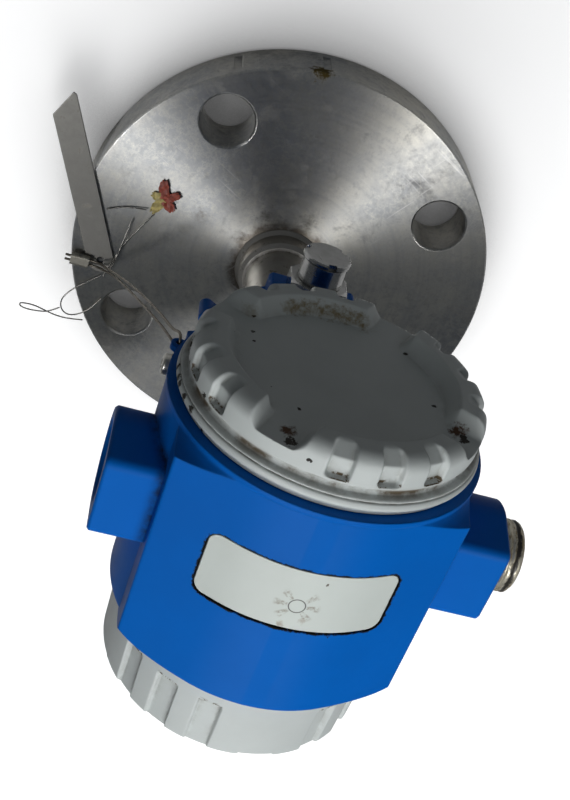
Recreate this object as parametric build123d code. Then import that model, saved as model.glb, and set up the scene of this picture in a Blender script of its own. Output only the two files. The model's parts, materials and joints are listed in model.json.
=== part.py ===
from build123d import *
import os
from math import acos, cos, degrees, pi, radians, sin, sqrt, tan

os.makedirs("parts", exist_ok=True)

# A flange-mounted meter head. Millimetres, +Z up from the sealing face.
# The origin is the centre of the flange's sealing face. The front cover faces -Y.

# Flange, nominal 2 inch, four bolts
flange_r = 76.2
plate_thickness = 20.0
raised_face_r = 46.05
raised_face_height = 1.6
bolt_to_edge = 15.875
bolt_circle_r = flange_r - bolt_to_edge
bolt_count = 4
bolt_hole_r = 9.525
bolt_first_angle = 34.5
flange_edge_break = 0.6
rim_field_width = 33.0
rim_field_height = 12.5
rim_field_depth = 0.5
rim_field_angle = -73.6
diaphragm_r = 29.5
diaphragm_thickness = 0.4
diaphragm_recess = 0.4
diaphragm_seat_width = 0.7
diaphragm_wave_count = 4
diaphragm_wave_inset = 2.5
diaphragm_wave_pitch = 5.0
diaphragm_wave_half_width = 1.6
diaphragm_wave_height = 0.35
oil_chamber_depth = 1.5
oil_funnel_height = 1.0
flange_bore_r = 6.0

# Neck
neck_r = 12.5
hub_r = 15.0
hub_height = 9.0
hub_chamfer = 1.4
weld_bead_width = 1.5
neck_spigot_r = 10.0
neck_spigot_depth = 5.0
neck_spigot_clearance = 0.1
neck_foot_wall = 2.0
neck_flare = 2.0
neck_bore_r = 8.5
swivel_r = 20.0
swivel_height = 22.0
shoulder_r = 24.0
shoulder_height = 4.0
swivel_clearance = 0.08
swivel_chamfer = 1.0
neck_ring_below_top = 3.4
neck_ring_section_r = 0.8
neck_ring_clearance = 0.02
ring_groove_depth = 1.7
ring_groove_half_height = 1.2
lock_above_swivel = 9.0
lock_groove_depth = 1.8
lock_groove_half_height = 3.4
lock_screw_r = 2.9
lock_screw_gap = 0.4
lock_key_flats = 3.0
lock_key_depth = 3.0

# Measuring cell, its pins and its fill tube
cell_seat_depth = 12.0
cell_seat_r = 15.5
cell_height = 8.0
cell_step_width = 2.5
cell_step_height = 3.0
pin_base_r = 8.0
pin_base_thickness = 1.6
pin_r = 0.5
pin_length = 5.0
pin_circle_r = 5.0
pin_count = 6
tube_r = 1.5
tube_bore_r = 0.5
tube_clearance = 0.1
tube_above_chamber = 2.0

# Housing
axis_above_flange = 143.9
chin_bottom_above_flange = 66.0
chin_r = 31.0
chin_edge = 1.0
chin_into_barrel = 16.0
chin_tab_angle = -28.0
chin_tab_r = 2.2
chin_tab_reach = 33.2
chin_tab_height = 9.0
barrel_r = 42.0
barrel_front_y = -38.3
barrel_rear_y = 28.8
barrel_rear_taper = 2.9
barrel_rear_r = barrel_r - barrel_rear_taper
barrel_rear_round = 3.2
collar_rise = 0.3
collar_r = barrel_r + collar_rise
collar_length = 1.6
ridge_inset = 4.4
ridge_half_width = barrel_r - ridge_inset
ridge_rise = 28.4
ridge_front_y = -34.3
ridge_rear_y = 22.5
barrel_rim = 3.5
ring_seat_r = barrel_r - barrel_rim
ring_seat_depth = 2.4
ring_seat_step = 2.0
thread_r = ring_seat_r - ring_seat_step
thread_height = 2.0
thread_length = 11.0
compartment_r = thread_r - thread_height
partition_front_y = 2.5
partition_thickness = 3.5
cavity_r = 17.0
cavity_height = 7.5
cavity_above_swivel = 1.0
passage_r = 3.2
passage_y = 12.5
casting_edge = 1.0
cove_out = 1.2
cove_forward = 1.1
saddle_margin = 1.0
saddle_rear_in = 2.2
rear_round_in = 0.9
compartment_taper = 1.5

# Cable entries
entry_y = -12.0
entry_above_axis = 7.1
entry_boss_r = 14.4
entry_flat_rise = 15.8
entry_flat_half_width = 11.7
entry_corner_r = 2.6
open_entry_reach = 10.2
plugged_entry_reach = 12.0
open_entry_end_x = barrel_r + open_entry_reach
plugged_entry_end_x = barrel_r + plugged_entry_reach
entry_thread_r = 10.2
entry_mouth_chamfer = 1.3
entry_end_chamfer = 0.6

# Covers
cover_gap = 0.3
front_bead_inset = 1.4
front_bead_r = barrel_r - front_bead_inset
front_bead_height = 4.4
front_bead_overhang = 1.9
front_wall_r = front_bead_r - front_bead_overhang
front_groove_depth = 0.7
front_groove_r = front_wall_r - front_groove_depth
front_disc_height = 10.9
front_arc_height = 15.4
front_arc_width = 7.9
front_arc_inner_r = front_wall_r - front_arc_width
front_disc_slope = 3.0
front_disc_r = front_arc_inner_r - front_disc_slope
front_shoulder_r = 4.0
front_groove_top = 2.6
front_groove_upper = 1.9
front_groove_lower = 0.7
front_bead_slope = 0.9
front_bead_bulge = (0.2, 0.7)
front_bead_side = 1.3
front_bead_lip = 1.9
front_undercut = 1.2
cover_base_chamfer = 0.5
channel_overcut = 2.0
channel_inner_overlap = 3.0
channel_length = 20.0
channel_half_width = 4.9
channel_flare = 2.6
channel_angle = 61.5
notch_width = 6.6
notch_pitch = 19.3
notches_per_group = 3
group_count = 4
notch_depth = 1.7
notch_foot_height = 7.6
notch_overcut = 2.0
notch_reach = 3.0
notch_bend = (1.5, 2.2)
notch_floor_start = 5.2
notch_column_length = 10.0
notch_column_height = 12.0
notch_column_lift = 0.5
notch_inner_inset = 1.6
notch_inner_r = front_arc_inner_r + notch_inner_inset
rear_cover_inset = 0.1
rear_cover_r = barrel_rear_r - rear_cover_inset
rear_cover_height = 22.7
rear_cover_draft = 0.7
rear_edge_round = 1.2
rear_group_angle = 56.8
rear_notch_pitch = 19.4
rear_notch_width = 6.5
rear_notch_foot = 5.8
rear_notch_depth = 2.0
rear_notch_cut = 6.0
rear_notch_corner_r = 1.0
rear_face_recess = 1.5
rear_face_rim = 10.0
rear_channel_width = 10.0
rear_cover_side_gap = 0.4
rear_face_recess_r = rear_cover_r - rear_face_rim
cover_skirt_length = 9.0
cover_skirt_wall = 2.6
cover_roof = 3.0
thread_clearance = 0.4
seal_section_r = 1.0
seal_lift = 0.15

# Data plate
plate_half_width = 24.2
plate_front_y = -20.0
plate_rear_y = -1.0
plate_sheet = 1.0
plate_pocket_depth = 1.3
plate_gap = 0.45
plate_corner_r = 3.0

# Vent plug
vent_above_flange = 75.0
vent_pad_y = -33.2
vent_pad_half_width = 13.8
vent_pad_height = 24.0
vent_hex_flats = 17.6
vent_hex_height = 5.6
vent_hex_corner = 1.9
vent_hex_corner_start = 0.2
vent_hex_corner_drop = 1.2
vent_thread_r = 5.0
vent_thread_length = 6.5
vent_hole_r = 1.5
vent_seal_thickness = 0.25
vent_seal_width = 1.5
vent_cup_r = 7.0
vent_cup_height = 6.8
vent_cup_gap = 0.15
vent_cup_wall = 1.2
vent_cup_ceiling = 1.4
vent_lid_r = 7.5
vent_lid_thickness = 1.3
vent_lid_gap = 0.5
vent_lid_chamfer = 0.5
vent_first_slot_angle = 100.0
vent_slot_count = 3
vent_slot_width = 2.6
vent_slot_depth = 1.5
vent_post_r = 5.4

# Stopping plug
plug_proud = 7.4
plug_shank_length = 12.0
plug_end_chamfer = 1.0
plug_key_flats = 10.0
plug_key_depth = 6.0
plug_seal_section_r = 0.9
plug_seal_inset = 0.75
plug_groove_margin = 0.1
plug_groove_depth = 1.8

# Outer ground screw and rope lug
ground_y = -29.0
ground_below_axis = 17.4
ground_boss_r = 3.6
ground_boss_rise = 1.4
ground_boss_x = sqrt(barrel_r**2 - ground_below_axis**2) + ground_boss_rise
ground_shank_r = 2.0
ground_shank_depth = 5.0
ground_hole_clearance = 0.1
ground_head_r = 3.0
ground_head_height = 2.2
ground_washer_r = 3.4
ground_washer_thickness = 0.8
ground_washer_gap = 0.05
lug_outset = 0.4
lug_x = ridge_half_width + lug_outset
lug_y = -24.8
lug_below_axis = 34.9
lug_thickness = 2.0
lug_hole_r = 1.1
lug_r = 2.4
lug_root = 8.0

# Inside the compartments
terminal_width = 40.0
terminal_height = 18.0
terminal_depth = 12.0
terminal_count = 4
terminal_pitch = 9.0
terminal_cup_r = 3.0
terminal_cup_depth = 6.0
terminal_cup_above = 3.0
terminal_screw_r = 2.4
terminal_screw_height = 2.4
terminal_slot_width = 0.8
terminal_slot_depth = 0.7
terminal_wire_port = (5.0, 6.0, 4.0)
terminal_edge = 2.0
terminal_below_axis = 2.0
seat_gap = 0.1
module_gap = 3.5
module_r = compartment_r - module_gap
module_depth = 14.0
module_edge = 1.5
module_off_partition = 4.6
module_window = (30.0, 1.5, 16.0)
module_window_above = 6.0
sleeve_r = 4.0
contact_gap = 0.05
module_screw_count = 3
module_screw_inset = 4.0
module_screw_circle_r = module_r - module_screw_inset
m4_head_r = 3.5
m4_head_height = 2.4
m4_shank_r = 1.9
feedthrough_r = 5.0
feedthrough_front = 4.0
feedthrough_rear = 4.0
feedthrough_collar_width = 2.0
feedthrough_collar_thickness = 2.0
feedthrough_clearance = 0.05
feedthrough_off_screws = 9.0
inner_ground_x = 25.0
inner_ground_drop = 14.0

# Tag strip, ferrule, rope, wires and seal
tag_width = 9.6
tag_thickness = 0.8
tag_corner = (85.9, -45.6)
tag_direction = (-0.413, 0.911)
tag_length = 69.0
tag_end_r = 4.8
tag_hole_r = 1.4
tag_clip_length = 7.4
tag_clip_corner = (0.6, 0.9)
tag_point_width = 1.6
flange_rest_gap = 0.4
ferrule_x = 67.6
ferrule_y = 16.0
ferrule_length = 6.8
ferrule_width = 4.6
ferrule_height = 2.6
ferrule_round = 1.1
ferrule_waist = (1.2, 0.8)
ferrule_above_tag = 0.3
rope_tail_length = 2.0
rope_d = 0.9
rope_spacing = 1.8
wire_d = 0.5
seal_centre = (47.6, -15.2)
seal_leaf_height = 1.6
seal_leaf_corner_r = 1.2
# Each leaf's turn from +X in degrees, length and width
seal_leaf_sizes = ((215, 6.0, 3.6), (140, 5.4, 3.8), (60, 6.6, 3.6), (-15, 4.8, 3.4), (-75, 7.4, 4.0))
part_gap = 0.3

# Levels worked out from the sizes above
flange_top = raised_face_height + plate_thickness
axis_z = flange_top + axis_above_flange
chin_z = flange_top + chin_bottom_above_flange
shoulder_z = chin_z + cover_gap
swivel_z = shoulder_z + shoulder_height
swivel_top = swivel_z + swivel_height
neck_ring_z = swivel_top - neck_ring_below_top
lock_z = swivel_z + lock_above_swivel
cell_bottom = swivel_top - cell_seat_depth + part_gap
cell_top = cell_bottom + cell_height
oil_chamber_top = diaphragm_recess + diaphragm_thickness + oil_chamber_depth
rear_wall_y = partition_front_y + partition_thickness
front_cover_y = barrel_front_y - cover_gap
rear_cover_y = barrel_rear_y + cover_gap
cover_skirt_r = thread_r - thread_clearance
cover_skirt_inner_r = cover_skirt_r - cover_skirt_wall
entry_z = axis_z + entry_above_axis
plug_end_x = -plugged_entry_end_x - plug_proud
plug_r = entry_thread_r - thread_clearance / 2
plug_groove_x = -plugged_entry_end_x + entry_mouth_chamfer + plug_seal_section_r + part_gap
vent_z = flange_top + vent_above_flange
vent_hex_y = vent_pad_y - vent_seal_thickness
vent_cup_y = vent_hex_y - vent_hex_height
ground_z = axis_z - ground_below_axis
lug_z = axis_z - lug_below_axis
terminal_z = axis_z - terminal_below_axis
terminal_back_y = partition_front_y - seat_gap
feedthrough_z = axis_z - (module_screw_circle_r - feedthrough_off_screws)
module_y = rear_wall_y + module_off_partition
tag_z = flange_top + flange_rest_gap
ferrule_z = tag_z + tag_thickness + ferrule_above_tag
rope_z = ferrule_z + ferrule_height / 2
rope_half = rope_spacing / 2
rope_lug_drop = 3.2
wire_z = flange_top + flange_rest_gap + wire_d / 2


def revolve_z(points):
    """A solid turned about Z from its half section, a list of (radius, z)."""
    return revolve(Plane.XZ * make_face(Polyline(*points, close=True)), Axis.Z)


def turn_about_cover_axis(section):
    """A solid turned about the covers' axis. The section is drawn as (radius, y)."""
    frame = Plane((0, 0, axis_z), x_dir=(1, 0, 0), z_dir=(0, 0, 1))
    return revolve(frame * section, Axis((0, 0, axis_z), (0, 1, 0)))


def rod(start, direction, radius, length):
    """A round bar from a point along a direction."""
    return Plane(start, z_dir=direction) * Cylinder(
        radius, length, align=(Align.CENTER, Align.CENTER, Align.MIN)
    )


def ring_seal(centre, direction, radius, section_r):
    """A round seal ring of a round section about an axis."""
    return Plane(centre, z_dir=direction) * Torus(radius, section_r)


def hexagon_bar(start, direction, across_flats, length, rotation=0.0):
    """A hexagon bar from a point along a direction."""
    frame = Plane(start, z_dir=direction)
    outline = RegularPolygon(across_flats / 2, 6, major_radius=False, rotation=rotation)
    return extrude(frame * outline, length)


def pan_screw(seat, direction, head_r, head_height, shank_r, shank_length):
    """A pan head on its seat with its shank behind it and a cross slot in its head."""
    head = rod(seat, direction, head_r, head_height)
    rim = head.edges().filter_by(GeomType.CIRCLE).sort_by(Axis(seat, direction))[-1]
    head = fillet(rim, head_height * 0.4)
    shank = rod(seat, -Vector(*direction), shank_r, shank_length)
    frame = Plane(seat, z_dir=direction).offset(head_height)
    slot = frame * (Box(head_r * 1.3, 0.9, 1.6) + Box(0.9, head_r * 1.3, 1.6))
    return head + shank - slot


def around_cover_axis(shape, angle):
    """A shape drawn on the +X side of the covers' axis, turned to an angle towards +Z."""
    return shape.rotate(Axis((0, 0, axis_z), (0, 1, 0)), -angle)


# Flange
def make_flange():
    e = flange_edge_break
    bottom = raised_face_height
    body = revolve_z([
        (0, 0), (raised_face_r, 0), (raised_face_r, bottom),
        (flange_r - e, bottom), (flange_r, bottom + e),
        (flange_r, flange_top - e), (flange_r - e, flange_top), (0, flange_top),
    ])
    hole = revolve_z([
        (0, bottom), (bolt_hole_r + e, bottom), (bolt_hole_r, bottom + e),
        (bolt_hole_r, flange_top - e), (bolt_hole_r + e, flange_top), (0, flange_top),
    ])
    spots = PolarLocations(bolt_circle_r, bolt_count, start_angle=bolt_first_angle, rotate=False)
    body -= [spot * hole for spot in spots]
    pocket_r = diaphragm_r + part_gap
    seat_z = diaphragm_recess + diaphragm_thickness
    chamber_r = diaphragm_r - diaphragm_seat_width
    spigot_hole_r = neck_spigot_r + neck_spigot_clearance
    spigot_floor_z = flange_top - neck_spigot_depth - part_gap
    body -= revolve_z([
        (0, 0), (pocket_r, 0), (pocket_r, seat_z), (chamber_r, seat_z), (chamber_r, oil_chamber_top),
        (flange_bore_r, oil_chamber_top + oil_funnel_height), (flange_bore_r, spigot_floor_z),
        (spigot_hole_r, spigot_floor_z), (spigot_hole_r, flange_top), (0, flange_top),
    ])
    field = Box(
        rim_field_depth * 2, rim_field_width, rim_field_height
    ).moved(Location((flange_r * cos(rim_field_width / 2 / flange_r), 0, bottom + plate_thickness / 2)))
    return body - field.rotate(Axis.Z, rim_field_angle)


# Sealing diaphragm, a thin disc with round waves
def make_diaphragm():
    low = diaphragm_recess
    high = low + diaphragm_thickness
    upper = [(0, high)]
    lower = [(0, low)]
    for i in range(diaphragm_wave_count):
        from_edge = diaphragm_wave_inset + (diaphragm_wave_count - 1 - i) * diaphragm_wave_pitch
        middle = diaphragm_r - from_edge
        half = diaphragm_wave_half_width
        for offset, rise in ((-half, 0.0), (0.0, diaphragm_wave_height), (half, 0.0)):
            upper.append((middle + offset, high + rise))
            lower.append((middle + offset, low + rise))
    upper.append((diaphragm_r, high))
    lower.append((diaphragm_r, low))
    return revolve_z(lower + upper[::-1])


# Sensor neck, turned in one piece and welded to the flange
def make_neck():
    z0 = flange_top
    body = revolve_z([
        (0, z0 - neck_spigot_depth), (neck_spigot_r, z0 - neck_spigot_depth), (neck_spigot_r, z0),
        (hub_r + weld_bead_width, z0), (hub_r, z0 + weld_bead_width),
        (hub_r, z0 + hub_height - hub_chamfer), (hub_r - hub_chamfer, z0 + hub_height),
        (neck_r, z0 + hub_height), (neck_r, shoulder_z - neck_flare), (neck_r + neck_flare, shoulder_z),
        (shoulder_r, shoulder_z), (shoulder_r, swivel_z), (swivel_r, swivel_z),
        (swivel_r, swivel_top - swivel_chamfer), (swivel_r - swivel_chamfer, swivel_top), (0, swivel_top),
    ])
    floor_z = z0 + neck_foot_wall
    bore = revolve_z([
        (0, floor_z), (neck_bore_r, floor_z), (neck_bore_r, swivel_top - cell_seat_depth),
        (cell_seat_r, swivel_top - cell_seat_depth), (cell_seat_r, swivel_top), (0, swivel_top),
    ])
    foot_hole = rod((0, 0, z0 - neck_spigot_depth), (0, 0, 1), tube_r + tube_clearance,
                    neck_spigot_depth + neck_foot_wall)
    ring_groove = turned_groove(neck_ring_z, ring_groove_half_height, ring_groove_depth)
    lock_groove = turned_groove(lock_z, lock_groove_half_height, lock_groove_depth)
    return body - bore - foot_hole - ring_groove - lock_groove


def turned_groove(z, half_height, depth):
    """A groove's cutter round the swivel, at a height on it."""
    return revolve_z([
        (swivel_r - depth, z - half_height), (swivel_r + depth, z - half_height),
        (swivel_r + depth, z + half_height), (swivel_r - depth, z + half_height),
    ])


def make_neck_ring():
    radius = swivel_r - neck_ring_section_r - neck_ring_clearance
    return ring_seal((0, 0, neck_ring_z), (0, 0, 1), radius, neck_ring_section_r)


# Fill tube from the diaphragm's oil chamber up to the measuring cell
def make_fill_tube():
    low = oil_chamber_top + tube_above_chamber
    length = cell_bottom - low
    return rod((0, 0, low), (0, 0, 1), tube_r, length) - rod((0, 0, low), (0, 0, 1), tube_bore_r, length)


def make_measuring_cell():
    r = cell_seat_r - part_gap
    step_r = r - cell_step_width
    step_z = cell_top - cell_step_height
    return revolve_z([
        (0, cell_bottom), (r, cell_bottom), (r, step_z), (step_r, step_z), (step_r, cell_top), (0, cell_top),
    ])


def make_cell_pins():
    base = rod((0, 0, cell_top), (0, 0, 1), pin_base_r, pin_base_thickness)
    pin = rod((0, 0, cell_top + pin_base_thickness), (0, 0, 1), pin_r, pin_length)
    return base + [spot * pin for spot in PolarLocations(pin_circle_r, pin_count)]


# Housing casting
def roof_turn():
    """Degrees from the top of the barrel to where the saddle's flats leave it."""
    reach = sqrt(ridge_half_width**2 + ridge_rise**2)
    return degrees(acos(ridge_rise / reach) - acos(barrel_r / reach))


def roof_outline(offset, upside=1):
    """The saddle's roof across the covers' axis: the barrel's arc with a tangent flat on each side."""
    turn = radians(roof_turn())
    r = barrel_r + offset
    reach = sqrt(ridge_half_width**2 + ridge_rise**2 - barrel_r**2)
    contact = (r * sin(turn), upside * r * cos(turn))
    corner = (contact[0] + reach * cos(turn), contact[1] - upside * reach * sin(turn))
    left = [(-x, axis_z + z) for x, z in (corner, contact)]
    right = [(x, axis_z + z) for x, z in (contact, corner)]
    return left, (0, axis_z + upside * r), right


def roof_edges(offset, upside=1):
    left, top, right = roof_outline(offset, upside)
    return Line(*left) + ThreePointArc(left[1], top, right[0]) + Line(*right)


def ridge_section():
    """The saddle's section: the roof, upright sides and the same shape again underneath."""
    upper = roof_outline(0)
    lower = roof_outline(0, -1)
    outline = (
        roof_edges(0)
        + Line(upper[2][1], lower[2][1])
        + roof_edges(0, -1)
        + Line(lower[0][0], upper[0][0])
    )
    section = make_face(outline)
    corners = section.vertices().filter_by(lambda v: abs(v.X) > ridge_half_width - 0.1)
    return fillet(corners, casting_edge)


def ridge_envelope():
    """What the saddle is turned within: a cove behind the collar and a rounded rear."""
    wide = sqrt(ridge_half_width**2 + ridge_rise**2) + saddle_margin
    cove_y = barrel_front_y + collar_length
    cove_mid = (collar_r + cove_out, ridge_front_y - cove_forward)
    rear_mid = (wide - saddle_rear_in, (ridge_rear_y + barrel_rear_y) / 2)
    end_r = barrel_rear_r
    outline = (
        Polyline((0, barrel_front_y), (collar_r, barrel_front_y), (collar_r, cove_y))
        + ThreePointArc((collar_r, cove_y), cove_mid, (wide, ridge_front_y))
        + Line((wide, ridge_front_y), (wide, ridge_rear_y))
        + ThreePointArc((wide, ridge_rear_y), rear_mid, (end_r, barrel_rear_y))
        + Polyline((end_r, barrel_rear_y), (0, barrel_rear_y), (0, barrel_front_y))
    )
    return turn_about_cover_axis(make_face(outline))


def entry_boss(side, end_x):
    """One cable-entry boss: round below, with a flat top and soft upper corners."""
    corners = Line(
        (-entry_flat_half_width, entry_flat_rise), (entry_flat_half_width, entry_flat_rise)).edges()
    section = make_hull(Circle(entry_boss_r).edges() + corners)
    upper = section.vertices().group_by(Axis.Y)[-1]
    section = fillet(upper, entry_corner_r)
    start_x = side * cavity_r
    frame = Plane((start_x, entry_y, entry_z), x_dir=(0, side, 0), z_dir=(side, 0, 0))
    bar = extrude(frame * section, end_x - cavity_r)
    end_edges = bar.faces().sort_by(Axis.X)[-1 if side > 0 else 0].edges()
    return chamfer(end_edges, entry_end_chamfer)


def make_housing():
    collar_end = barrel_front_y + collar_length
    round_y = barrel_rear_y - barrel_rear_round
    round_mid = (barrel_r - rear_round_in, barrel_rear_y - rear_round_in)
    barrel_half = (
        Polyline((0, barrel_front_y), (collar_r, barrel_front_y), (collar_r, collar_end),
                 (barrel_r, collar_end), (barrel_r, round_y))
        + ThreePointArc((barrel_r, round_y), round_mid, (barrel_rear_r, barrel_rear_y))
        + Polyline((barrel_rear_r, barrel_rear_y), (0, barrel_rear_y), (0, barrel_front_y))
    )
    body = turn_about_cover_axis(make_face(barrel_half))
    saddle = extrude(Plane.XZ * ridge_section(), 60, both=True)
    body += saddle & ridge_envelope()
    body += make_chin()
    body += entry_boss(1, open_entry_end_x)
    body += entry_boss(-1, plugged_entry_end_x)
    body += rod((compartment_r, ground_y, ground_z), (1, 0, 0), ground_boss_r, ground_boss_x - compartment_r)
    body += make_lug()
    body -= rod((0, barrel_rear_y, axis_z), (0, 1, 0), rear_cover_r + rear_cover_side_gap, barrel_r)
    return body - housing_cavities()


def make_chin():
    """The round chin on the neck, with the vent's flat pad on its front and a small tab at its side."""
    top_z = axis_z - barrel_r + chin_into_barrel
    chin = revolve_z([
        (0, chin_z), (chin_r - chin_edge, chin_z), (chin_r, chin_z + chin_edge), (chin_r, top_z), (0, top_z),
    ])
    pad = Box(2 * vent_pad_half_width, abs(vent_pad_y), vent_pad_height,
              align=(Align.CENTER, Align.MIN, Align.MIN)).moved(Location((0, vent_pad_y, chin_z)))
    pad_edges = pad.edges().filter_by(Axis.Y).group_by(Axis.Z)[0] + pad.faces().sort_by(Axis.Y)[0].edges()
    pad = chamfer(pad_edges.sort_by(Axis.Z), casting_edge)
    tab = rod((chin_tab_reach, 0, chin_z), (0, 0, 1), chin_tab_r, chin_tab_height)
    tab += Box(chin_tab_reach, 2 * chin_tab_r, chin_tab_height,
               align=(Align.MIN, Align.CENTER, Align.MIN)).moved(Location((0, 0, chin_z)))
    return chin + pad + tab.rotate(Axis.Z, chin_tab_angle)


def make_lug():
    """A small ear below the saddle's corner, with a hole for the rope."""
    frame = Plane((0, lug_y + lug_thickness / 2, 0), x_dir=(1, 0, 0), z_dir=(0, -1, 0))
    ear = frame * make_hull(
        (Pos(lug_x, lug_z) * Circle(lug_r)).edges()
        + (Pos(lug_x - lug_root, lug_z + lug_root) * Circle(lug_r)).edges()
    )
    hole = rod((lug_x, lug_y - lug_thickness, lug_z), (0, 1, 0), lug_hole_r, 4 * lug_thickness)
    return extrude(ear, lug_thickness) - hole


def compartment(mouth_y, floor_y):
    """A compartment from its mouth to its floor: a seat for the seal ring, a threaded part and a bore."""
    inward = 1 if floor_y > mouth_y else -1
    seat_y = mouth_y + inward * ring_seat_depth
    thread_y = mouth_y + inward * thread_length
    taper_y = thread_y + inward * compartment_taper
    return turn_about_cover_axis(make_face(Polyline(
        (0, mouth_y), (ring_seat_r, mouth_y), (ring_seat_r, seat_y), (thread_r, seat_y), (thread_r, thread_y),
        (compartment_r, taper_y), (compartment_r, floor_y), (0, floor_y), (0, mouth_y))))


def housing_cavities():
    front = compartment(barrel_front_y, partition_front_y)
    rear = compartment(barrel_rear_y, rear_wall_y)
    socket_r = swivel_r + swivel_clearance
    socket_top = swivel_top + cavity_above_swivel
    socket = revolve_z([
        (0, chin_z), (shoulder_r + part_gap, chin_z), (shoulder_r + part_gap, swivel_z + part_gap),
        (socket_r, swivel_z + part_gap), (socket_r, socket_top), (cavity_r, socket_top),
        (cavity_r, socket_top + cavity_height), (0, socket_top + cavity_height),
    ])
    passage = rod((0, passage_y, socket_top), (0, 0, 1), passage_r, axis_z - compartment_r * 0.7 - socket_top)
    entries = rod((-plugged_entry_end_x, entry_y, entry_z), (1, 0, 0), entry_thread_r,
                  plugged_entry_end_x + open_entry_end_x)
    mouths = [
        Plane((side * end_x, entry_y, entry_z), z_dir=(-side, 0, 0)) * Cone(
            entry_thread_r + entry_mouth_chamfer, entry_thread_r, entry_mouth_chamfer,
            align=(Align.CENTER, Align.CENTER, Align.MIN))
        for side, end_x in ((-1, plugged_entry_end_x), (1, open_entry_end_x))
    ]
    vent_bore = rod((0, vent_pad_y, vent_z), (0, 1, 0), vent_thread_r + part_gap,
                    vent_thread_length + 2 * vent_seal_thickness + part_gap)
    vent_bore += rod((0, vent_pad_y, vent_z), (0, 1, 0), vent_hole_r, abs(vent_pad_y) - swivel_r + part_gap)
    ground_bore = rod((ground_boss_x, ground_y, ground_z), (-1, 0, 0), ground_shank_r + ground_hole_clearance,
                      ground_shank_depth)
    lock_bore = rod((0, swivel_r - part_gap, lock_z), (0, 1, 0), lock_screw_r + ground_hole_clearance, chin_r)
    feed = rod((0, partition_front_y - partition_thickness, feedthrough_z), (0, 1, 0),
               feedthrough_r + feedthrough_clearance, 3 * partition_thickness)
    bores = vent_bore + ground_bore + lock_bore + feed
    return front + rear + socket + passage + entries + mouths + bores + plate_pocket()


def plate_block(grow, low, high):
    """A slice of the roof between two heights on it: the plate's rounded outline seen from above."""
    upper = roof_outline(high)
    lower = roof_outline(low)
    band = make_face(
        roof_edges(high) + Line(upper[2][1], lower[2][1]) + roof_edges(low) + Line(lower[0][0], upper[0][0])
    )
    sheet = extrude(Plane.XZ * band, 60, both=True)
    width = 2 * (plate_half_width + grow)
    length = plate_rear_y - plate_front_y + 2 * grow
    outline = RectangleRounded(width, length, plate_corner_r + grow)
    column = extrude(Plane((0, (plate_front_y + plate_rear_y) / 2, axis_z)) * outline, 2 * barrel_r)
    return sheet & column


def plate_pocket():
    return plate_block(plate_gap, -plate_pocket_depth, plate_pocket_depth)


def make_data_plate():
    return plate_block(0, -plate_pocket_depth, plate_sheet - plate_pocket_depth)


# Covers
def front_cover_blank():
    """The cap before its channels and notches, drawn as (radius, height above its base)."""
    def h(height):
        return front_cover_y - height

    shoulder = front_shoulder_r
    wall_top = front_arc_height - shoulder
    knee = shoulder * (1 - sin(radians(45)))
    bead_top = front_bead_height
    bead_slope_r = front_bead_r - front_bead_slope
    bulge_in, bulge_down = front_bead_bulge
    roof = front_disc_height - cover_roof
    outline = (
        Polyline((0, h(front_disc_height)), (front_disc_r, h(front_disc_height)),
                 (front_arc_inner_r, h(front_arc_height)), (front_wall_r - shoulder, h(front_arc_height)))
        + ThreePointArc((front_wall_r - shoulder, h(front_arc_height)),
                        (front_wall_r - knee, h(front_arc_height - knee)),
                        (front_wall_r, h(wall_top)))
        + Polyline((front_wall_r, h(wall_top)), (front_wall_r, h(bead_top + front_groove_top)),
                   (front_groove_r, h(bead_top + front_groove_upper)),
                   (front_groove_r, h(bead_top + front_groove_lower)), (bead_slope_r, h(bead_top)))
        + ThreePointArc((bead_slope_r, h(bead_top)), (front_bead_r - bulge_in, h(bead_top - bulge_down)),
                        (front_bead_r, h(bead_top - front_bead_side)))
        + Polyline((front_bead_r, h(bead_top - front_bead_side)), (front_bead_r, h(front_bead_lip)),
                   (front_bead_r - front_undercut, h(front_bead_lip - front_undercut)),
                   (front_bead_r - front_undercut, h(0)), (cover_skirt_r, h(0)),
                   (cover_skirt_r, h(-cover_skirt_length)), (cover_skirt_inner_r, h(-cover_skirt_length)),
                   (cover_skirt_inner_r, h(roof)), (0, h(roof)), (0, h(front_disc_height)))
    )
    return turn_about_cover_axis(make_face(outline))


def front_notch():
    """One finger notch's cutter at angle 0: a round-ended slot following the shoulder."""
    floor_r = front_wall_r - notch_depth
    reach = front_wall_r + notch_reach
    rim = front_cover_y - front_arc_height
    top = rim - notch_overcut
    foot = front_cover_y - notch_foot_height
    bend_in, bend_down = notch_bend
    straight = rim + notch_floor_start
    face = make_face(
        ThreePointArc((notch_inner_r, rim), (floor_r - bend_in, rim + bend_down), (floor_r, straight))
        + Polyline((floor_r, straight), (floor_r, foot), (reach, foot), (reach, top), (notch_inner_r, top),
                   (notch_inner_r, rim))
    )
    frame = Plane((0, 0, axis_z), x_dir=(1, 0, 0), z_dir=(0, 0, 1))
    profile = extrude(frame * face, notch_width / 2, both=True)
    slot_r = notch_width / 2
    plan = Pos(notch_inner_r + slot_r, 0) * Circle(slot_r)
    plan += Pos(notch_inner_r + slot_r, 0) * Rectangle(
        notch_column_length, notch_width, align=(Align.MIN, Align.CENTER))
    start = Plane((0, foot + notch_column_lift, axis_z), x_dir=(1, 0, 0), z_dir=(0, -1, 0))
    return profile & extrude(start * plan, notch_column_height)


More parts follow.
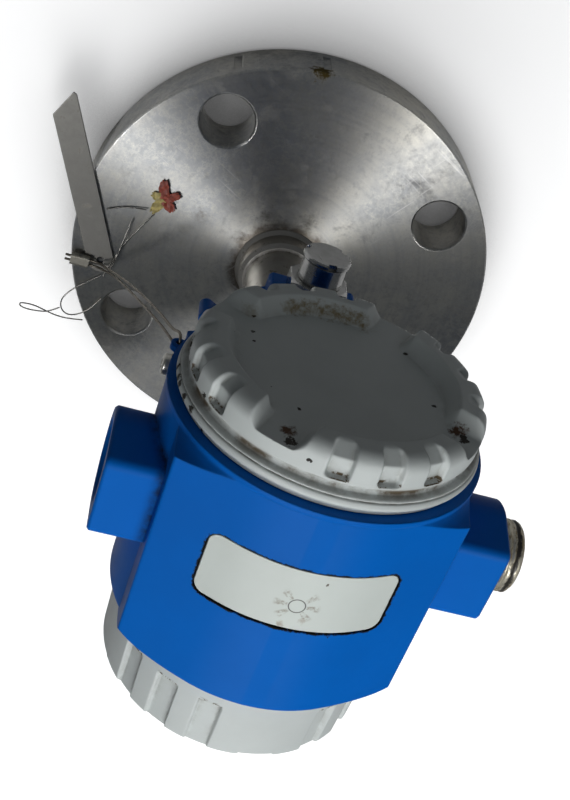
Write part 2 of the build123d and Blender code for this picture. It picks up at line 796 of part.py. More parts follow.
def front_channel():
    """One channel's cutter at angle 0: a trough down to the disc with flared walls."""
    floor = front_cover_y - front_disc_height
    arc_rise = front_arc_height - front_disc_height
    deep = arc_rise + channel_overcut
    half = channel_half_width
    wide = half + channel_flare * deep / arc_rise
    section = Polyline((floor, -half), (floor, half), (floor - deep, wide), (floor - deep, -wide), close=True)
    frame = Plane((front_disc_r - channel_inner_overlap, 0, axis_z), x_dir=(0, 1, 0), z_dir=(1, 0, 0))
    return extrude(frame * make_face(section), channel_length)


def make_front_cover():
    cover = front_cover_blank()
    cutters = []
    for group in range(group_count):
        channel = channel_angle + group * 360 / group_count
        cutters.append(around_cover_axis(front_channel(), channel))
        for i in range(notches_per_group):
            step = (i - (notches_per_group - 1) / 2) * notch_pitch
            cutters.append(around_cover_axis(front_notch(), channel + 180 / group_count + step))
    return cover - cutters


def make_rear_cover():
    base = rear_cover_y
    end = base + rear_cover_height
    edge_r = rear_cover_r - rear_cover_draft
    soft = rear_edge_round
    knee = soft * (1 - sin(radians(45)))
    roof = end - rear_face_recess - cover_roof
    outline = (
        Polyline((0, end - rear_face_recess), (rear_face_recess_r, end - rear_face_recess),
                 (rear_face_recess_r + rear_face_recess, end), (edge_r - soft, end))
        + ThreePointArc((edge_r - soft, end), (edge_r - knee, end - knee), (edge_r, end - soft))
        + Polyline((edge_r, end - soft), (rear_cover_r, base + cover_base_chamfer),
                   (rear_cover_r - cover_base_chamfer, base), (cover_skirt_r, base),
                   (cover_skirt_r, base - cover_skirt_length),
                   (cover_skirt_inner_r, base - cover_skirt_length), (cover_skirt_inner_r, roof),
                   (0, roof), (0, end - rear_face_recess))
    )
    cover = turn_about_cover_axis(make_face(outline))
    foot = base + rear_notch_foot
    notch = Box(rear_notch_cut, rear_cover_height, rear_notch_width,
                align=(Align.MIN, Align.MIN, Align.CENTER))
    notch = fillet(notch.edges().filter_by(Axis.X).group_by(Axis.Y)[0], rear_notch_corner_r)
    notch = notch.moved(Location((rear_cover_r - rear_notch_depth, foot, axis_z)))
    channel = Box(rear_cover_r, 2 * rear_face_recess, rear_channel_width,
                  align=(Align.MIN, Align.CENTER, Align.CENTER))
    channel = channel.moved(Location((rear_face_recess_r, end, axis_z)))
    cutters = []
    for group in range(group_count):
        middle = rear_group_angle + group * 360 / group_count
        cutters.append(around_cover_axis(channel, middle + 180 / group_count))
        for i in range(notches_per_group):
            step = (i - (notches_per_group - 1) / 2) * rear_notch_pitch
            cutters.append(around_cover_axis(notch, middle + step))
    return cover - cutters


def make_cover_ring(face_y, inward):
    ring_r = (ring_seat_r + cover_skirt_r) / 2
    centre_y = face_y + inward * (seal_section_r + seal_lift)
    return ring_seal((0, centre_y, axis_z), (0, 1, 0), ring_r, seal_section_r)


# Vent plug on its pad
def make_vent_body():
    body = hexagon_bar((0, vent_hex_y, vent_z), (0, -1, 0), vent_hex_flats, vent_hex_height)
    face_r = vent_hex_flats / 2 + vent_hex_corner_start
    corner_r = vent_hex_flats / 2 + vent_hex_corner
    drop = vent_hex_corner_drop
    body &= turn_about_vent([
        (0, vent_hex_y), (face_r, vent_hex_y), (corner_r, vent_hex_y - drop),
        (corner_r, vent_cup_y + drop), (face_r, vent_cup_y), (0, vent_cup_y),
    ])
    body += rod((0, vent_hex_y, vent_z), (0, 1, 0), vent_thread_r, vent_thread_length)
    body += rod((0, vent_cup_y, vent_z), (0, -1, 0), vent_post_r, vent_cup_height / 2)
    return body - rod((0, vent_hex_y + vent_thread_length, vent_z), (0, -1, 0), vent_hole_r,
                      vent_thread_length + vent_hex_height)


def turn_about_vent(points):
    """A solid turned about the vent's axis from its half section, a list of (radius, y)."""
    frame = Plane((0, 0, vent_z), x_dir=(1, 0, 0), z_dir=(0, 0, 1))
    return revolve(frame * make_face(Polyline(*points, close=True)), Axis((0, 0, vent_z), (0, 1, 0)))


def make_vent_cap():
    """A cup with a lid that stands off it on three feet, with a slot beside each foot."""
    foot_y = vent_cup_y - vent_cup_gap
    cup_end = foot_y - vent_cup_height
    ceiling_y = cup_end + vent_cup_ceiling
    inner_r = vent_post_r + part_gap
    waist_r = vent_cup_r - vent_cup_wall
    lid_y = cup_end - vent_lid_gap
    lid_end = lid_y - vent_lid_thickness
    body = turn_about_vent([
        (0, ceiling_y), (inner_r, ceiling_y), (inner_r, foot_y), (vent_cup_r, foot_y), (vent_cup_r, cup_end),
        (waist_r, cup_end), (waist_r, lid_y), (vent_lid_r, lid_y), (vent_lid_r, lid_end + vent_lid_chamfer),
        (vent_lid_r - vent_lid_chamfer, lid_end), (0, lid_end),
    ])
    slot = Box(vent_slot_depth * 2, vent_lid_thickness * 3, vent_slot_width).moved(
        Location((vent_lid_r, lid_end, vent_z)))
    slot_pitch = 360 / vent_slot_count
    slots = [slot.rotate(Axis((0, 0, vent_z), (0, 1, 0)), -(vent_first_slot_angle + slot_pitch * i))
             for i in range(vent_slot_count)]
    return body - slots


def make_vent_seal():
    inner_r = vent_thread_r + seat_gap
    outer_r = vent_thread_r + vent_seal_width
    return turn_about_vent([
        (inner_r, vent_hex_y), (outer_r, vent_hex_y), (outer_r, vent_pad_y), (inner_r, vent_pad_y)])


# Stopping plug in the -X entry, screwed in with a part of its thread standing out
def make_plug():
    body = rod((plug_end_x, entry_y, entry_z), (1, 0, 0), plug_r, plug_proud + plug_shank_length)
    body = chamfer(body.edges().filter_by(GeomType.CIRCLE).sort_by(Axis.X)[0], plug_end_chamfer)
    key = hexagon_bar((plug_end_x, entry_y, entry_z), (1, 0, 0), plug_key_flats, plug_key_depth)
    half = plug_seal_section_r + plug_groove_margin
    start = (plug_groove_x - half, entry_y, entry_z)
    groove = rod(start, (1, 0, 0), 2 * plug_r, 2 * half)
    groove -= rod(start, (1, 0, 0), plug_r - plug_groove_depth, 2 * half)
    return body - key - groove


def make_plug_seal():
    return ring_seal((plug_groove_x, entry_y, entry_z), (1, 0, 0), plug_r - plug_seal_inset,
                     plug_seal_section_r)


# Screws
def make_ground_screw():
    seat = (ground_boss_x + ground_washer_thickness + 2 * ground_washer_gap, ground_y, ground_z)
    return pan_screw(seat, (1, 0, 0), ground_head_r, ground_head_height, ground_shank_r,
                     ground_shank_depth)


def make_ground_washer():
    seat = (ground_boss_x + ground_washer_gap, ground_y, ground_z)
    washer = rod(seat, (1, 0, 0), ground_washer_r, ground_washer_thickness)
    return washer - rod(seat, (1, 0, 0), ground_shank_r + ground_hole_clearance, ground_washer_thickness)


def make_lock_screw():
    start_y = swivel_r - lock_groove_depth + lock_screw_gap
    length = chin_r - swivel_r
    screw = rod((0, start_y, lock_z), (0, 1, 0), lock_screw_r, length)
    key = hexagon_bar((0, start_y + length, lock_z), (0, -1, 0), lock_key_flats, lock_key_depth)
    return screw - key


# Inside the front compartment
def terminal_xs():
    """Where the terminals stand along X."""
    return [(i - (terminal_count - 1) / 2) * terminal_pitch for i in range(terminal_count)]


def make_terminal_block():
    block = Box(terminal_width, terminal_depth, terminal_height,
                align=(Align.CENTER, Align.MAX, Align.CENTER))
    block = block.moved(Location((0, terminal_back_y, terminal_z)))
    block = chamfer(block.edges().filter_by(Axis.X).group_by(Axis.Y)[0], terminal_edge)
    port = Box(*terminal_wire_port).moved(
        Location((0, terminal_back_y - terminal_depth / 2, terminal_z - terminal_height / 2)))
    cutters = []
    for x in terminal_xs():
        cup_start = (x, terminal_back_y - terminal_depth, terminal_z + terminal_cup_above)
        cutters.append(rod(cup_start, (0, 1, 0), terminal_cup_r, terminal_cup_depth))
        cutters.append(port.moved(Location((x, 0, 0))))
    return block - cutters


def make_terminal_screws():
    floor_y = terminal_back_y - terminal_depth + terminal_cup_depth
    head_y = floor_y - terminal_screw_height
    z = terminal_z + terminal_cup_above
    screws = []
    for x in terminal_xs():
        screw = rod((x, floor_y, z), (0, -1, 0), terminal_screw_r, terminal_screw_height)
        slot = Box(2 * terminal_screw_r, 2 * terminal_slot_depth, terminal_slot_width)
        screws.append(screw - slot.moved(Location((x, head_y, z))))
    return Compound(children=screws)


def make_inner_ground_screw():
    """The screw's head on the partition. Its thread ends in the casting and isn't drawn."""
    seat = (inner_ground_x, terminal_back_y, axis_z - inner_ground_drop)
    return pan_screw(seat, (0, -1, 0), m4_head_r, m4_head_height, m4_shank_r, seat_gap / 2)


def make_feedthrough():
    front_y = partition_front_y - feedthrough_front
    body = rod((0, front_y, feedthrough_z), (0, 1, 0), feedthrough_r,
               feedthrough_front + partition_thickness + feedthrough_rear)
    collar_y = terminal_back_y - feedthrough_collar_thickness
    return body + rod((0, collar_y, feedthrough_z), (0, 1, 0), feedthrough_r + feedthrough_collar_width,
                      feedthrough_collar_thickness)


# Inside the rear compartment
def make_module():
    body = rod((0, module_y, axis_z), (0, 1, 0), module_r, module_depth)
    body = chamfer(body.edges().filter_by(GeomType.CIRCLE).sort_by(Axis.Y)[-1], module_edge)
    width, depth, height = module_window
    window = Box(width, 2 * depth, height)
    body -= window.moved(Location((0, module_y + module_depth, axis_z + module_window_above)))
    frame = Plane((0, module_y + module_depth, axis_z), x_dir=(1, 0, 0), z_dir=(0, 1, 0))
    spots = PolarLocations(module_screw_circle_r, module_screw_count, start_angle=90)
    holes = [frame * spot * Cylinder(m4_shank_r + seat_gap, 4 * module_depth) for spot in spots]
    return body - holes


def make_module_screws():
    frame = Plane((0, module_y + module_depth + contact_gap, axis_z), x_dir=(1, 0, 0), z_dir=(0, 1, 0))
    floor_y = rear_wall_y + contact_gap
    shank = module_y + module_depth - floor_y
    screws = []
    for spot in PolarLocations(module_screw_circle_r, module_screw_count, start_angle=90):
        place = (frame * spot).position
        screw = pan_screw((place.X, place.Y, place.Z), (0, 1, 0), m4_head_r, m4_head_height, m4_shank_r,
                          shank)
        screws.append(screw)
    return Compound(children=screws)


def make_module_sleeves():
    """Three spacer sleeves that hold the module off the partition."""
    floor_y = rear_wall_y + contact_gap
    frame = Plane((0, floor_y, axis_z), x_dir=(1, 0, 0), z_dir=(0, 1, 0))
    length = module_y - floor_y - contact_gap
    sleeves = []
    for spot in PolarLocations(module_screw_circle_r, module_screw_count, start_angle=90):
        place = (frame * spot).position
        start = (place.X, place.Y, place.Z)
        sleeve = rod(start, (0, 1, 0), sleeve_r, length)
        sleeves.append(sleeve - rod(start, (0, 1, 0), m4_shank_r + seat_gap, length))
    return Compound(children=sleeves)


# Tag strip and what hangs on it
def tag_point(along, across):
    """A point of the strip, from its far corner along its edge and across its width."""
    ux, uy = tag_direction
    return (tag_corner[0] + along * ux + across * uy, tag_corner[1] + along * uy - across * ux)


def make_tag_plate():
    w = tag_width
    near = tag_length - tag_end_r
    tip = tag_point(tag_length, w / 2)
    outline = (
        Polyline(tag_point(near, w), tag_point(tag_clip_length, w), tag_point(*tag_clip_corner),
                 tag_point(tag_point_width, 0), tag_point(near, 0))
        + ThreePointArc(tag_point(near, 0), tip, tag_point(near, w))
    )
    strip = extrude(Plane((0, 0, tag_z)) * make_face(outline), tag_thickness)
    x, y = tag_point(near, w / 2)
    return strip - rod((x, y, tag_z - tag_thickness), (0, 0, 1), tag_hole_r, 3 * tag_thickness)


def make_ferrule():
    body = Box(ferrule_length, ferrule_width, ferrule_height, align=(Align.MIN, Align.CENTER, Align.MIN))
    body = fillet(body.edges().filter_by(Axis.X), ferrule_round)
    body = body.moved(Location((ferrule_x, ferrule_y, ferrule_z)))
    waist = Box(*ferrule_waist, ferrule_height, align=(Align.CENTER, Align.CENTER, Align.MIN))
    waist_x = ferrule_x + ferrule_length / 2
    for side in (-1, 1):
        body -= waist.moved(Location((waist_x, ferrule_y + side * ferrule_width / 2, ferrule_z)))
    return body


def make_rope_tails():
    start_x = ferrule_x + ferrule_length
    tails = [rod((start_x, ferrule_y + side * rope_half, rope_z), (1, 0, 0), rope_d / 2, rope_tail_length)
             for side in (-1, 1)]
    return Compound(children=tails)


def tube(points, diameter, name):
    """A round tube along straight runs joined by tangent arcs as large as the runs allow."""
    vectors = [Vector(*p) for p in points]
    radii = []
    for before, here, after in zip(vectors, vectors[1:], vectors[2:]):
        turn = (here - before).get_angle(after - here)
        shorter = min((here - before).length, (after - here).length)
        radii.append(0.45 * shorter / tan(radians(turn / 2)))
    path = FilletPolyline(*vectors, radius=radii)
    section = Plane(path @ 0, z_dir=path % 0) * Circle(diameter / 2)
    solid = sweep(section, path=path)
    expected = path.length * pi * diameter**2 / 4
    print(name, "length", round(path.length, 1), "radii", [round(r, 1) for r in radii],
          "volume share", round(solid.volume / expected, 4))
    return solid


# The rope's two strands, from the lug's hole down to the ferrule
strand_a_points = [
    (lug_x, lug_y, lug_z), (lug_x, lug_y - 2.4, lug_z), (lug_x + 0.6, lug_y - 2.7, lug_z - rope_lug_drop),
    (40.2, -24.9, 123.2), (43.8, -20.0, 107.5), (50.6, -7.9, 76.6), (56.4, 3.6, 50.6), (59.4, 9.8, 37.4),
    (61.4, 13.6, 29.4), (64.2, ferrule_y - rope_half, rope_z), (ferrule_x, ferrule_y - rope_half, rope_z),
]
strand_b_points = [
    (lug_x, lug_y, lug_z), (lug_x, lug_y + 2.2, lug_z), (lug_x + 0.9, lug_y + 2.3, lug_z - rope_lug_drop),
    (40.4, -22.0, 122.6), (43.7, -16.9, 107.5), (50.4, -5.1, 76.7), (56.0, 5.0, 51.0), (59.0, 10.8, 37.8),
    (61.0, 14.8, 30.0), (64.0, ferrule_y + rope_half, rope_z), (ferrule_x, ferrule_y + rope_half, rope_z),
]
# Thin wires lying on the flange: to the seal, on from it, a cut stub, and a loose loop with a hairpin
seal_wire_points = [
    (61.4, 20.9, wire_z + 1.0), (60.6, 17.0, wire_z + 1.1), (59.1, 12.3, wire_z + 1.1),
    (56.9, 4.8, wire_z + 0.7), (53.1, -2.2, wire_z + 0.5), (50.2, -8.3, wire_z + 0.7),
]
seal_tail_points = [
    (52.6, -9.8, wire_z + 0.6), (57.4, -9.2, wire_z + 0.3), (62.4, -7.6, wire_z),
    (66.2, -5.6, wire_z),
]
stub_wire_points = [
    (60.0, 18.4, wire_z + 1.8), (59.0, 14.6, wire_z + 2.1), (58.2, 8.0, wire_z + 2.1),
    (57.2, 1.4, wire_z + 1.5), (56.8, -4.6, wire_z + 0.9),
]
loop_wire_points = [
    (62.4, 21.4, wire_z), (66.0, 24.8, wire_z + 0.2), (70.8, 29.3, wire_z + 0.5), (73.6, 33.2, wire_z + 0.8),
    (74.2, 37.1, wire_z + 0.6), (72.4, 40.4, wire_z + 0.3), (69.3, 41.2, wire_z), (65.4, 38.9, wire_z),
    (62.2, 35.2, wire_z), (60.0, 30.6, wire_z),
]
hairpin_wire_points = [
    (74.0, 38.4, wire_z + 1.0), (77.4, 41.2, wire_z + 1.3), (81.4, 42.2, wire_z + 1.2),
    (85.4, 42.6, wire_z + 1.1), (88.2, 42.1, wire_z + 1.0), (88.7, 40.9, wire_z + 0.8),
    (86.0, 40.6, wire_z + 0.4), (82.6, 40.9, wire_z), (78.6, 42.0, wire_z), (74.2, 42.9, wire_z),
    (69.6, 42.8, wire_z), (64.6, 41.8, wire_z),
]


# Crumpled seal: five leaves of foil folded round the wire's end
def make_seal_leaves():
    base = Plane((*seal_centre, tag_z))
    outline = None
    for angle, length, width in seal_leaf_sizes:
        leaf = Pos(length / 2, 0) * RectangleRounded(length, width, seal_leaf_corner_r)
        leaf = leaf.rotate(Axis.Z, angle)
        outline = leaf if outline is None else outline + leaf
    return extrude(base * outline, seal_leaf_height)


nodes = {
    "flange": make_flange,
    "sealing_diaphragm": make_diaphragm,
    "sensor_neck": make_neck,
    "neck_seal_ring": make_neck_ring,
    "fill_tube": make_fill_tube,
    "measuring_cell": make_measuring_cell,
    "cell_pins": make_cell_pins,
    "housing": make_housing,
    "data_plate": make_data_plate,
    "front_cover": make_front_cover,
    "front_cover_ring": lambda: make_cover_ring(barrel_front_y, 1),
    "rear_cover": make_rear_cover,
    "rear_cover_ring": lambda: make_cover_ring(barrel_rear_y, -1),
    "vent_body": make_vent_body,
    "vent_cap": make_vent_cap,
    "vent_seal": make_vent_seal,
    "stopping_plug": make_plug,
    "plug_seal": make_plug_seal,
    "ground_screw": make_ground_screw,
    "ground_washer": make_ground_washer,
    "swivel_lock_screw": make_lock_screw,
    "terminal_block": make_terminal_block,
    "terminal_screws": make_terminal_screws,
    "inner_ground_screw": make_inner_ground_screw,
    "feedthrough": make_feedthrough,
    "electronics_module": make_module,
    "module_screws": make_module_screws,
    "module_sleeves": make_module_sleeves,
    "tag_plate": make_tag_plate,
    "rope_ferrule": make_ferrule,
    "rope_tails": make_rope_tails,
    "rope_strand_a": lambda: tube(strand_a_points, rope_d, "rope_strand_a"),
    "rope_strand_b": lambda: tube(strand_b_points, rope_d, "rope_strand_b"),
    "seal_wire": lambda: tube(seal_wire_points, wire_d, "seal_wire"),
    "seal_tail": lambda: tube(seal_tail_points, wire_d, "seal_tail"),
    "stub_wire": lambda: tube(stub_wire_points, wire_d, "stub_wire"),
    "loop_wire": lambda: tube(loop_wire_points, wire_d, "loop_wire"),
    "hairpin_wire": lambda: tube(hairpin_wire_points, wire_d, "hairpin_wire"),
    "seal_leaves": make_seal_leaves,
}

for name, make in nodes.items():
    export_step(make(), f"parts/{name}.step")
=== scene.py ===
# %% [markdown]
# # A flange-mounted meter head
# The object is a bolted steel flange with a turned neck, and on the neck sits a blue cast housing with two
# grey screwed covers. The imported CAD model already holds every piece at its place. This lesson dresses that
# model: it keeps the solids whose shape is right, gives them materials made of nodes, and replaces the few
# pieces whose soft shapes ask for a finer surface.

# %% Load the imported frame
import bpy
import json
import math
import numpy as np
from mathutils import Matrix, Vector


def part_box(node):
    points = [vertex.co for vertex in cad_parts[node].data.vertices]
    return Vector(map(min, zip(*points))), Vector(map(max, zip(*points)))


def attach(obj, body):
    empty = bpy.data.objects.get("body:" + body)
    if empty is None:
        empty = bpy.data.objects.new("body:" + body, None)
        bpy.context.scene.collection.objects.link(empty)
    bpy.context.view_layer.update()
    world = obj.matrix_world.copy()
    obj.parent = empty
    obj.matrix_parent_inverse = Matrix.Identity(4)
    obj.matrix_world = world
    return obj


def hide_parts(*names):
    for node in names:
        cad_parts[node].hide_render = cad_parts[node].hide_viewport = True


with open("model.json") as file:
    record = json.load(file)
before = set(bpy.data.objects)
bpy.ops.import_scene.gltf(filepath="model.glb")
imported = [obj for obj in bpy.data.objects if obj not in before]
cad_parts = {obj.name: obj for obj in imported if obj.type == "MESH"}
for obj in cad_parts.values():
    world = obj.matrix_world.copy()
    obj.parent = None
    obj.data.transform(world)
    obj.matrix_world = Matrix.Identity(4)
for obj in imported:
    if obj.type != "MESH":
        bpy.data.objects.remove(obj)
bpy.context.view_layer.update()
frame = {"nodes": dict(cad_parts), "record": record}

# %% [markdown]
# Sizes below are written in millimetres, because the object was measured that way, and are turned into
# Blender's metres in one place. The levels are read from the CAD nodes, so a piece made here goes where
# the solids say, with no fitting.

# %% Levels read from the solids
MM = 0.001
scene = bpy.context.scene


def span(node, axis):
    """Lowest and highest value of a CAD node along X, Y or Z (0, 1, 2), in millimetres."""
    low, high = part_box(node)
    return low[axis] / MM, high[axis] / MM


flange_top = span("flange", 2)[1]
cover_axis_z = sum(span("front_cover_ring", 2)) / 2
entry_axis_z = sum(span("stopping_plug", 2)) / 2
print("flange top", round(flange_top, 2), "cover axis", round(cover_axis_z, 2))

# %% [markdown]
# The camera comes first, because every later choice is judged through it. A photograph's viewpoint is a
# place, three angles and a focal length. Blender's camera looks along its own -Z with +Y up, so the matrix
# is built from the direction backwards, the direction to the right and the roll about the line of sight.

# %% Camera
photo_height = 800
focal_pixels = 1253.8
camera_place = Vector((68.2, -210.1, 430.1)) * MM
camera_azimuth = math.radians(18.31)
camera_elevation = math.radians(55.68)
camera_roll = math.radians(179.02)
sensor_width = 36.0


def camera_matrix(place, azimuth, elevation, roll):
    """World matrix of a camera: its back points along azimuth and elevation, and it is rolled about it."""
    back = Vector((
        math.sin(azimuth) * math.cos(elevation),
        -math.cos(azimuth) * math.cos(elevation),
        math.sin(elevation),
    ))
    right = Vector((0, 0, 1)).cross(back).normalized()
    up = back.cross(right)
    level = Matrix((right, up, back)).transposed()
    return Matrix.Translation(place) @ (level @ Matrix.Rotation(roll, 3, "Z")).to_4x4()


camera_data = bpy.data.cameras.new("photo_camera")
camera_data.sensor_fit = "AUTO"
camera_data.sensor_width = sensor_width
camera_data.lens = focal_pixels / photo_height * sensor_width
camera_data.clip_start = 0.01
camera_data.clip_end = 20.0
camera = bpy.data.objects.new("photo_camera", camera_data)
camera.matrix_world = camera_matrix(camera_place, camera_azimuth, camera_elevation, camera_roll)
scene.collection.objects.link(camera)
scene.camera = camera
print("focal length, mm:", round(camera_data.lens, 2))

# %% [markdown]
# Two strands of a thin steel rope run from the housing's ear down to a crimped ferrule, and thin wires lie
# on the flange. Each route is a NURBS curve: its control points pull a smooth line along, as a real wire
# bends, with no corner. The points are the route's own, in millimetres.

# %% Routes of the ropes and wires
wire_z = flange_top + 0.65
rope_z = sum(span("rope_ferrule", 2)) / 2
lug = (38.0, -24.8, cover_axis_z - 34.9)
ferrule_x = span("rope_ferrule", 0)[0]
rope_diameter = 0.9
wire_diameter = 0.5
routes = {
    "rope_strand_a": [
        lug, (lug[0], lug[1] - 2.4, lug[2]), (lug[0] + 0.6, lug[1] - 2.7, lug[2] - 3.2),
        (40.2, -24.9, 123.2), (43.8, -20.0, 107.5), (50.6, -7.9, 76.6), (56.4, 3.6, 50.6),
        (59.4, 9.8, 37.4), (61.4, 13.6, 29.4), (64.2, 15.1, rope_z), (ferrule_x, 15.1, rope_z),
    ],
    "rope_strand_b": [
        lug, (lug[0], lug[1] + 2.2, lug[2]), (lug[0] + 0.9, lug[1] + 2.3, lug[2] - 3.2),
        (40.4, -22.0, 122.6), (43.7, -16.9, 107.5), (50.4, -5.1, 76.7), (56.0, 5.0, 51.0),
        (59.0, 10.8, 37.8), (61.0, 14.8, 30.0), (64.0, 16.9, rope_z), (ferrule_x, 16.9, rope_z),
    ],
    "seal_wire": [
        (61.4, 20.9, wire_z + 1.0), (60.6, 17.0, wire_z + 1.1), (59.1, 12.3, wire_z + 1.1),
        (56.9, 4.8, wire_z + 0.7), (53.1, -2.2, wire_z + 0.5), (50.2, -8.3, wire_z + 0.7),
    ],
    "seal_tail": [
        (52.6, -9.8, wire_z + 0.6), (57.4, -9.2, wire_z + 0.3), (62.4, -7.6, wire_z), (66.2, -5.6, wire_z),
    ],
    "stub_wire": [
        (60.0, 18.4, wire_z + 1.8), (59.0, 14.6, wire_z + 2.1), (58.2, 8.0, wire_z + 2.1),
        (57.2, 1.4, wire_z + 1.5), (56.8, -4.6, wire_z + 0.9),
    ],
    "loop_wire": [
        (62.4, 21.4, wire_z), (66.0, 24.8, wire_z + 0.2), (70.8, 29.3, wire_z + 0.5),
        (73.6, 33.2, wire_z + 0.8), (74.2, 37.1, wire_z + 0.6), (72.4, 40.4, wire_z + 0.3),
        (69.3, 41.2, wire_z), (65.4, 38.9, wire_z), (62.2, 35.2, wire_z), (60.0, 30.6, wire_z),
    ],
    "hairpin_wire": [
        (74.0, 38.4, wire_z + 1.0), (77.4, 41.2, wire_z + 1.3), (81.4, 42.2, wire_z + 1.2),
        (85.4, 42.6, wire_z + 1.1), (88.2, 42.1, wire_z + 1.0), (88.7, 40.9, wire_z + 0.8),
        (86.0, 40.6, wire_z + 0.4), (82.6, 40.9, wire_z), (78.6, 42.0, wire_z), (74.2, 42.9, wire_z),
        (69.6, 42.8, wire_z), (64.6, 41.8, wire_z),
    ],
}


def nurbs_curve(name, points, radius=0.0):
    """A curve object of one open NURBS spline of order 3 through its end points, with a round section."""
    data = bpy.data.curves.new(name, "CURVE")
    data.dimensions = "3D"
    data.bevel_depth = radius * MM
    data.bevel_resolution = 3
    data.use_fill_caps = True
    spline = data.splines.new("NURBS")
    spline.points.add(len(points) - 1)
    for point, place in zip(spline.points, points):
        point.co = (*(Vector(place) * MM), 1.0)
    spline.order_u = 3
    spline.use_endpoint_u = True
    spline.resolution_u = 12
    curve = bpy.data.objects.new(name, data)
    scene.collection.objects.link(curve)
    return curve


def curve_line(name, points):
    """The points, in metres, that Blender draws along a route's spline, read from a curve with no section."""
    bare = nurbs_curve(name + "_line", points)
    bpy.context.view_layer.update()
    mesh = bpy.data.meshes.new_from_object(bare)
    line = np.empty(len(mesh.vertices) * 3)
    mesh.vertices.foreach_get("co", line)
    bpy.data.meshes.remove(mesh)
    bpy.data.objects.remove(bare)
    return line.reshape(-1, 3)


def line_length(line):
    """The sum of the distances between neighbouring points of a line."""
    return float(np.linalg.norm(np.diff(line, axis=0), axis=1).sum())


lines = {name: curve_line(name, points) for name, points in routes.items()}
for name, line in lines.items():
    print(name, "length, mm:", round(line_length(line) / MM, 1))

# %% [markdown]
# Every new piece is a skin over rings of points. A ring is one row of a grid, the rows are joined by
# quads, and a pole or a flat end closes each side. One helper turns such arrays into a mesh, whole arrays
# at a time, so that a cover with thousands of points costs a moment.

# %% Skin over rings
pieces = {}


def make_mesh(name, points, faces, attributes=None):
    """A mesh object from an array of points in metres and a list of faces, with values kept on its points."""
    mesh = bpy.data.meshes.new(name)
    mesh.from_pydata(points.tolist(), [], faces)
    for key, values in (attributes or {}).items():
        layer = mesh.attributes.new(key, "FLOAT", "POINT")
        layer.data.foreach_set("value", np.ascontiguousarray(values, np.float32).ravel())
    mesh.shade_smooth()
    piece = bpy.data.objects.new(name, mesh)
    scene.collection.objects.link(piece)
    pieces[name] = piece
    return piece


def skin(name, rings, first=None, last=None, attributes=None, closed=True):
    """Quads between neighbouring rings. rings is (rows, columns, 3) in millimetres, and each row closes on
    itself. first and last are end points that a fan of triangles joins to the first and last row."""
    rows, columns = rings.shape[:2]
    index = np.arange(rows * columns).reshape(rows, columns)
    beside = np.roll(index, -1, axis=1)
    quads = np.stack([index[:-1], index[1:], beside[1:], beside[:-1]], axis=-1)
    if not closed:
        quads = quads[:, :-1]
    faces = quads.reshape(-1, 4).tolist()
    points = rings.reshape(-1, 3)
    extra = []
    for end, row, here, ahead in ((first, 0, index, beside), (last, -1, beside, index)):
        if end is None:
            continue
        pole = len(points) + len(extra)
        extra.append(end)
        faces += np.stack([np.full(columns, pole), here[row], ahead[row]], axis=-1).tolist()
    if extra:
        points = np.vstack([points, np.array(extra, float)])
        attributes = {
            key: np.concatenate([np.ravel(values), np.zeros(len(extra))])
            for key, values in (attributes or {}).items()
        }
    return make_mesh(name, points * MM, faces, attributes)


def soft_ramp(low, high, value, soft):
    """A straight ramp from 0 at low to 1 at high, with both ends rounded over the length soft."""
    def bend(x):
        return 0.5 * (x + np.sqrt(x * x + soft * soft))
    return (bend(value - low) - bend(value - high)) / (high - low)


def smooth_step(low, high, value):
    """0 below low, 1 above high, and a soft S between."""
    share = np.clip((value - low) / (high - low), 0.0, 1.0)
    return share * share * (3.0 - 2.0 * share)


# %% [markdown]
# A steel rope shows its laid wires as slanting ridges. The section is a round with six lobes, and it
# turns as it goes along. Along the line each ring needs a frame that doesn't twist by itself: the side
# direction is carried from ring to ring, made square to the line again, and the lay's turn is added.

# %% Rope strands
rope_lobes = 6
rope_lay = 7.0
rope_ridge = 0.16
rope_columns = 24


def carried_frames(line):
    """Unit directions along a line and square to it. The first side is carried on, so it doesn't spin."""
    along = np.gradient(line, axis=0)
    along /= np.linalg.norm(along, axis=1, keepdims=True)
    side = np.cross(along[0], (0.3, 0.5, 0.8))
    sides = []
    for direction in along:
        side = side - direction * side.dot(direction)
        side = side / np.linalg.norm(side)
        sides.append(side)
    sides = np.array(sides)
    return along, sides, np.cross(along, sides)


def even_line(line, step):
    """The same line with points a fixed step apart, by its running length."""
    run = np.concatenate([[0], np.cumsum(np.linalg.norm(np.diff(line, axis=0), axis=1))])
    stations = np.linspace(0, run[-1], max(2, int(run[-1] / step)))
    return np.stack([np.interp(stations, run, line[:, i]) for i in range(3)], axis=-1), stations


def laid_rope(name, line, diameter):
    """A rope's skin: radius = r (1 - ridge + ridge |cos(lobes/2 (angle - turn))|), and
    turn = 2 pi length / lay."""
    centre, run = even_line(line / MM, 0.3)
    along, side, up = carried_frames(centre)
    angle = np.linspace(0, 2 * np.pi, rope_columns, endpoint=False)
    turn = 2 * np.pi * run[:, None] / rope_lay
    lobe = np.abs(np.cos(rope_lobes / 2 * (angle[None] - turn)))
    radius = diameter / 2 * (1 - rope_ridge + rope_ridge * lobe)
    rings = (
        centre[:, None]
        + side[:, None] * (radius * np.cos(angle))[..., None]
        + up[:, None] * (radius * np.sin(angle))[..., None]
    )
    return skin(name, rings[:, ::-1], centre[0], centre[-1])


for name in ("rope_strand_a", "rope_strand_b"):
    laid_rope(name + "_laid", lines[name], rope_diameter)
for name in ("seal_wire", "seal_tail", "stub_wire", "loop_wire", "hairpin_wire"):
    pieces[name + "_drawn"] = nurbs_curve(name + "_drawn", routes[name], wire_diameter / 2)
print("rope points:", len(pieces["rope_strand_a_laid"].data.vertices))

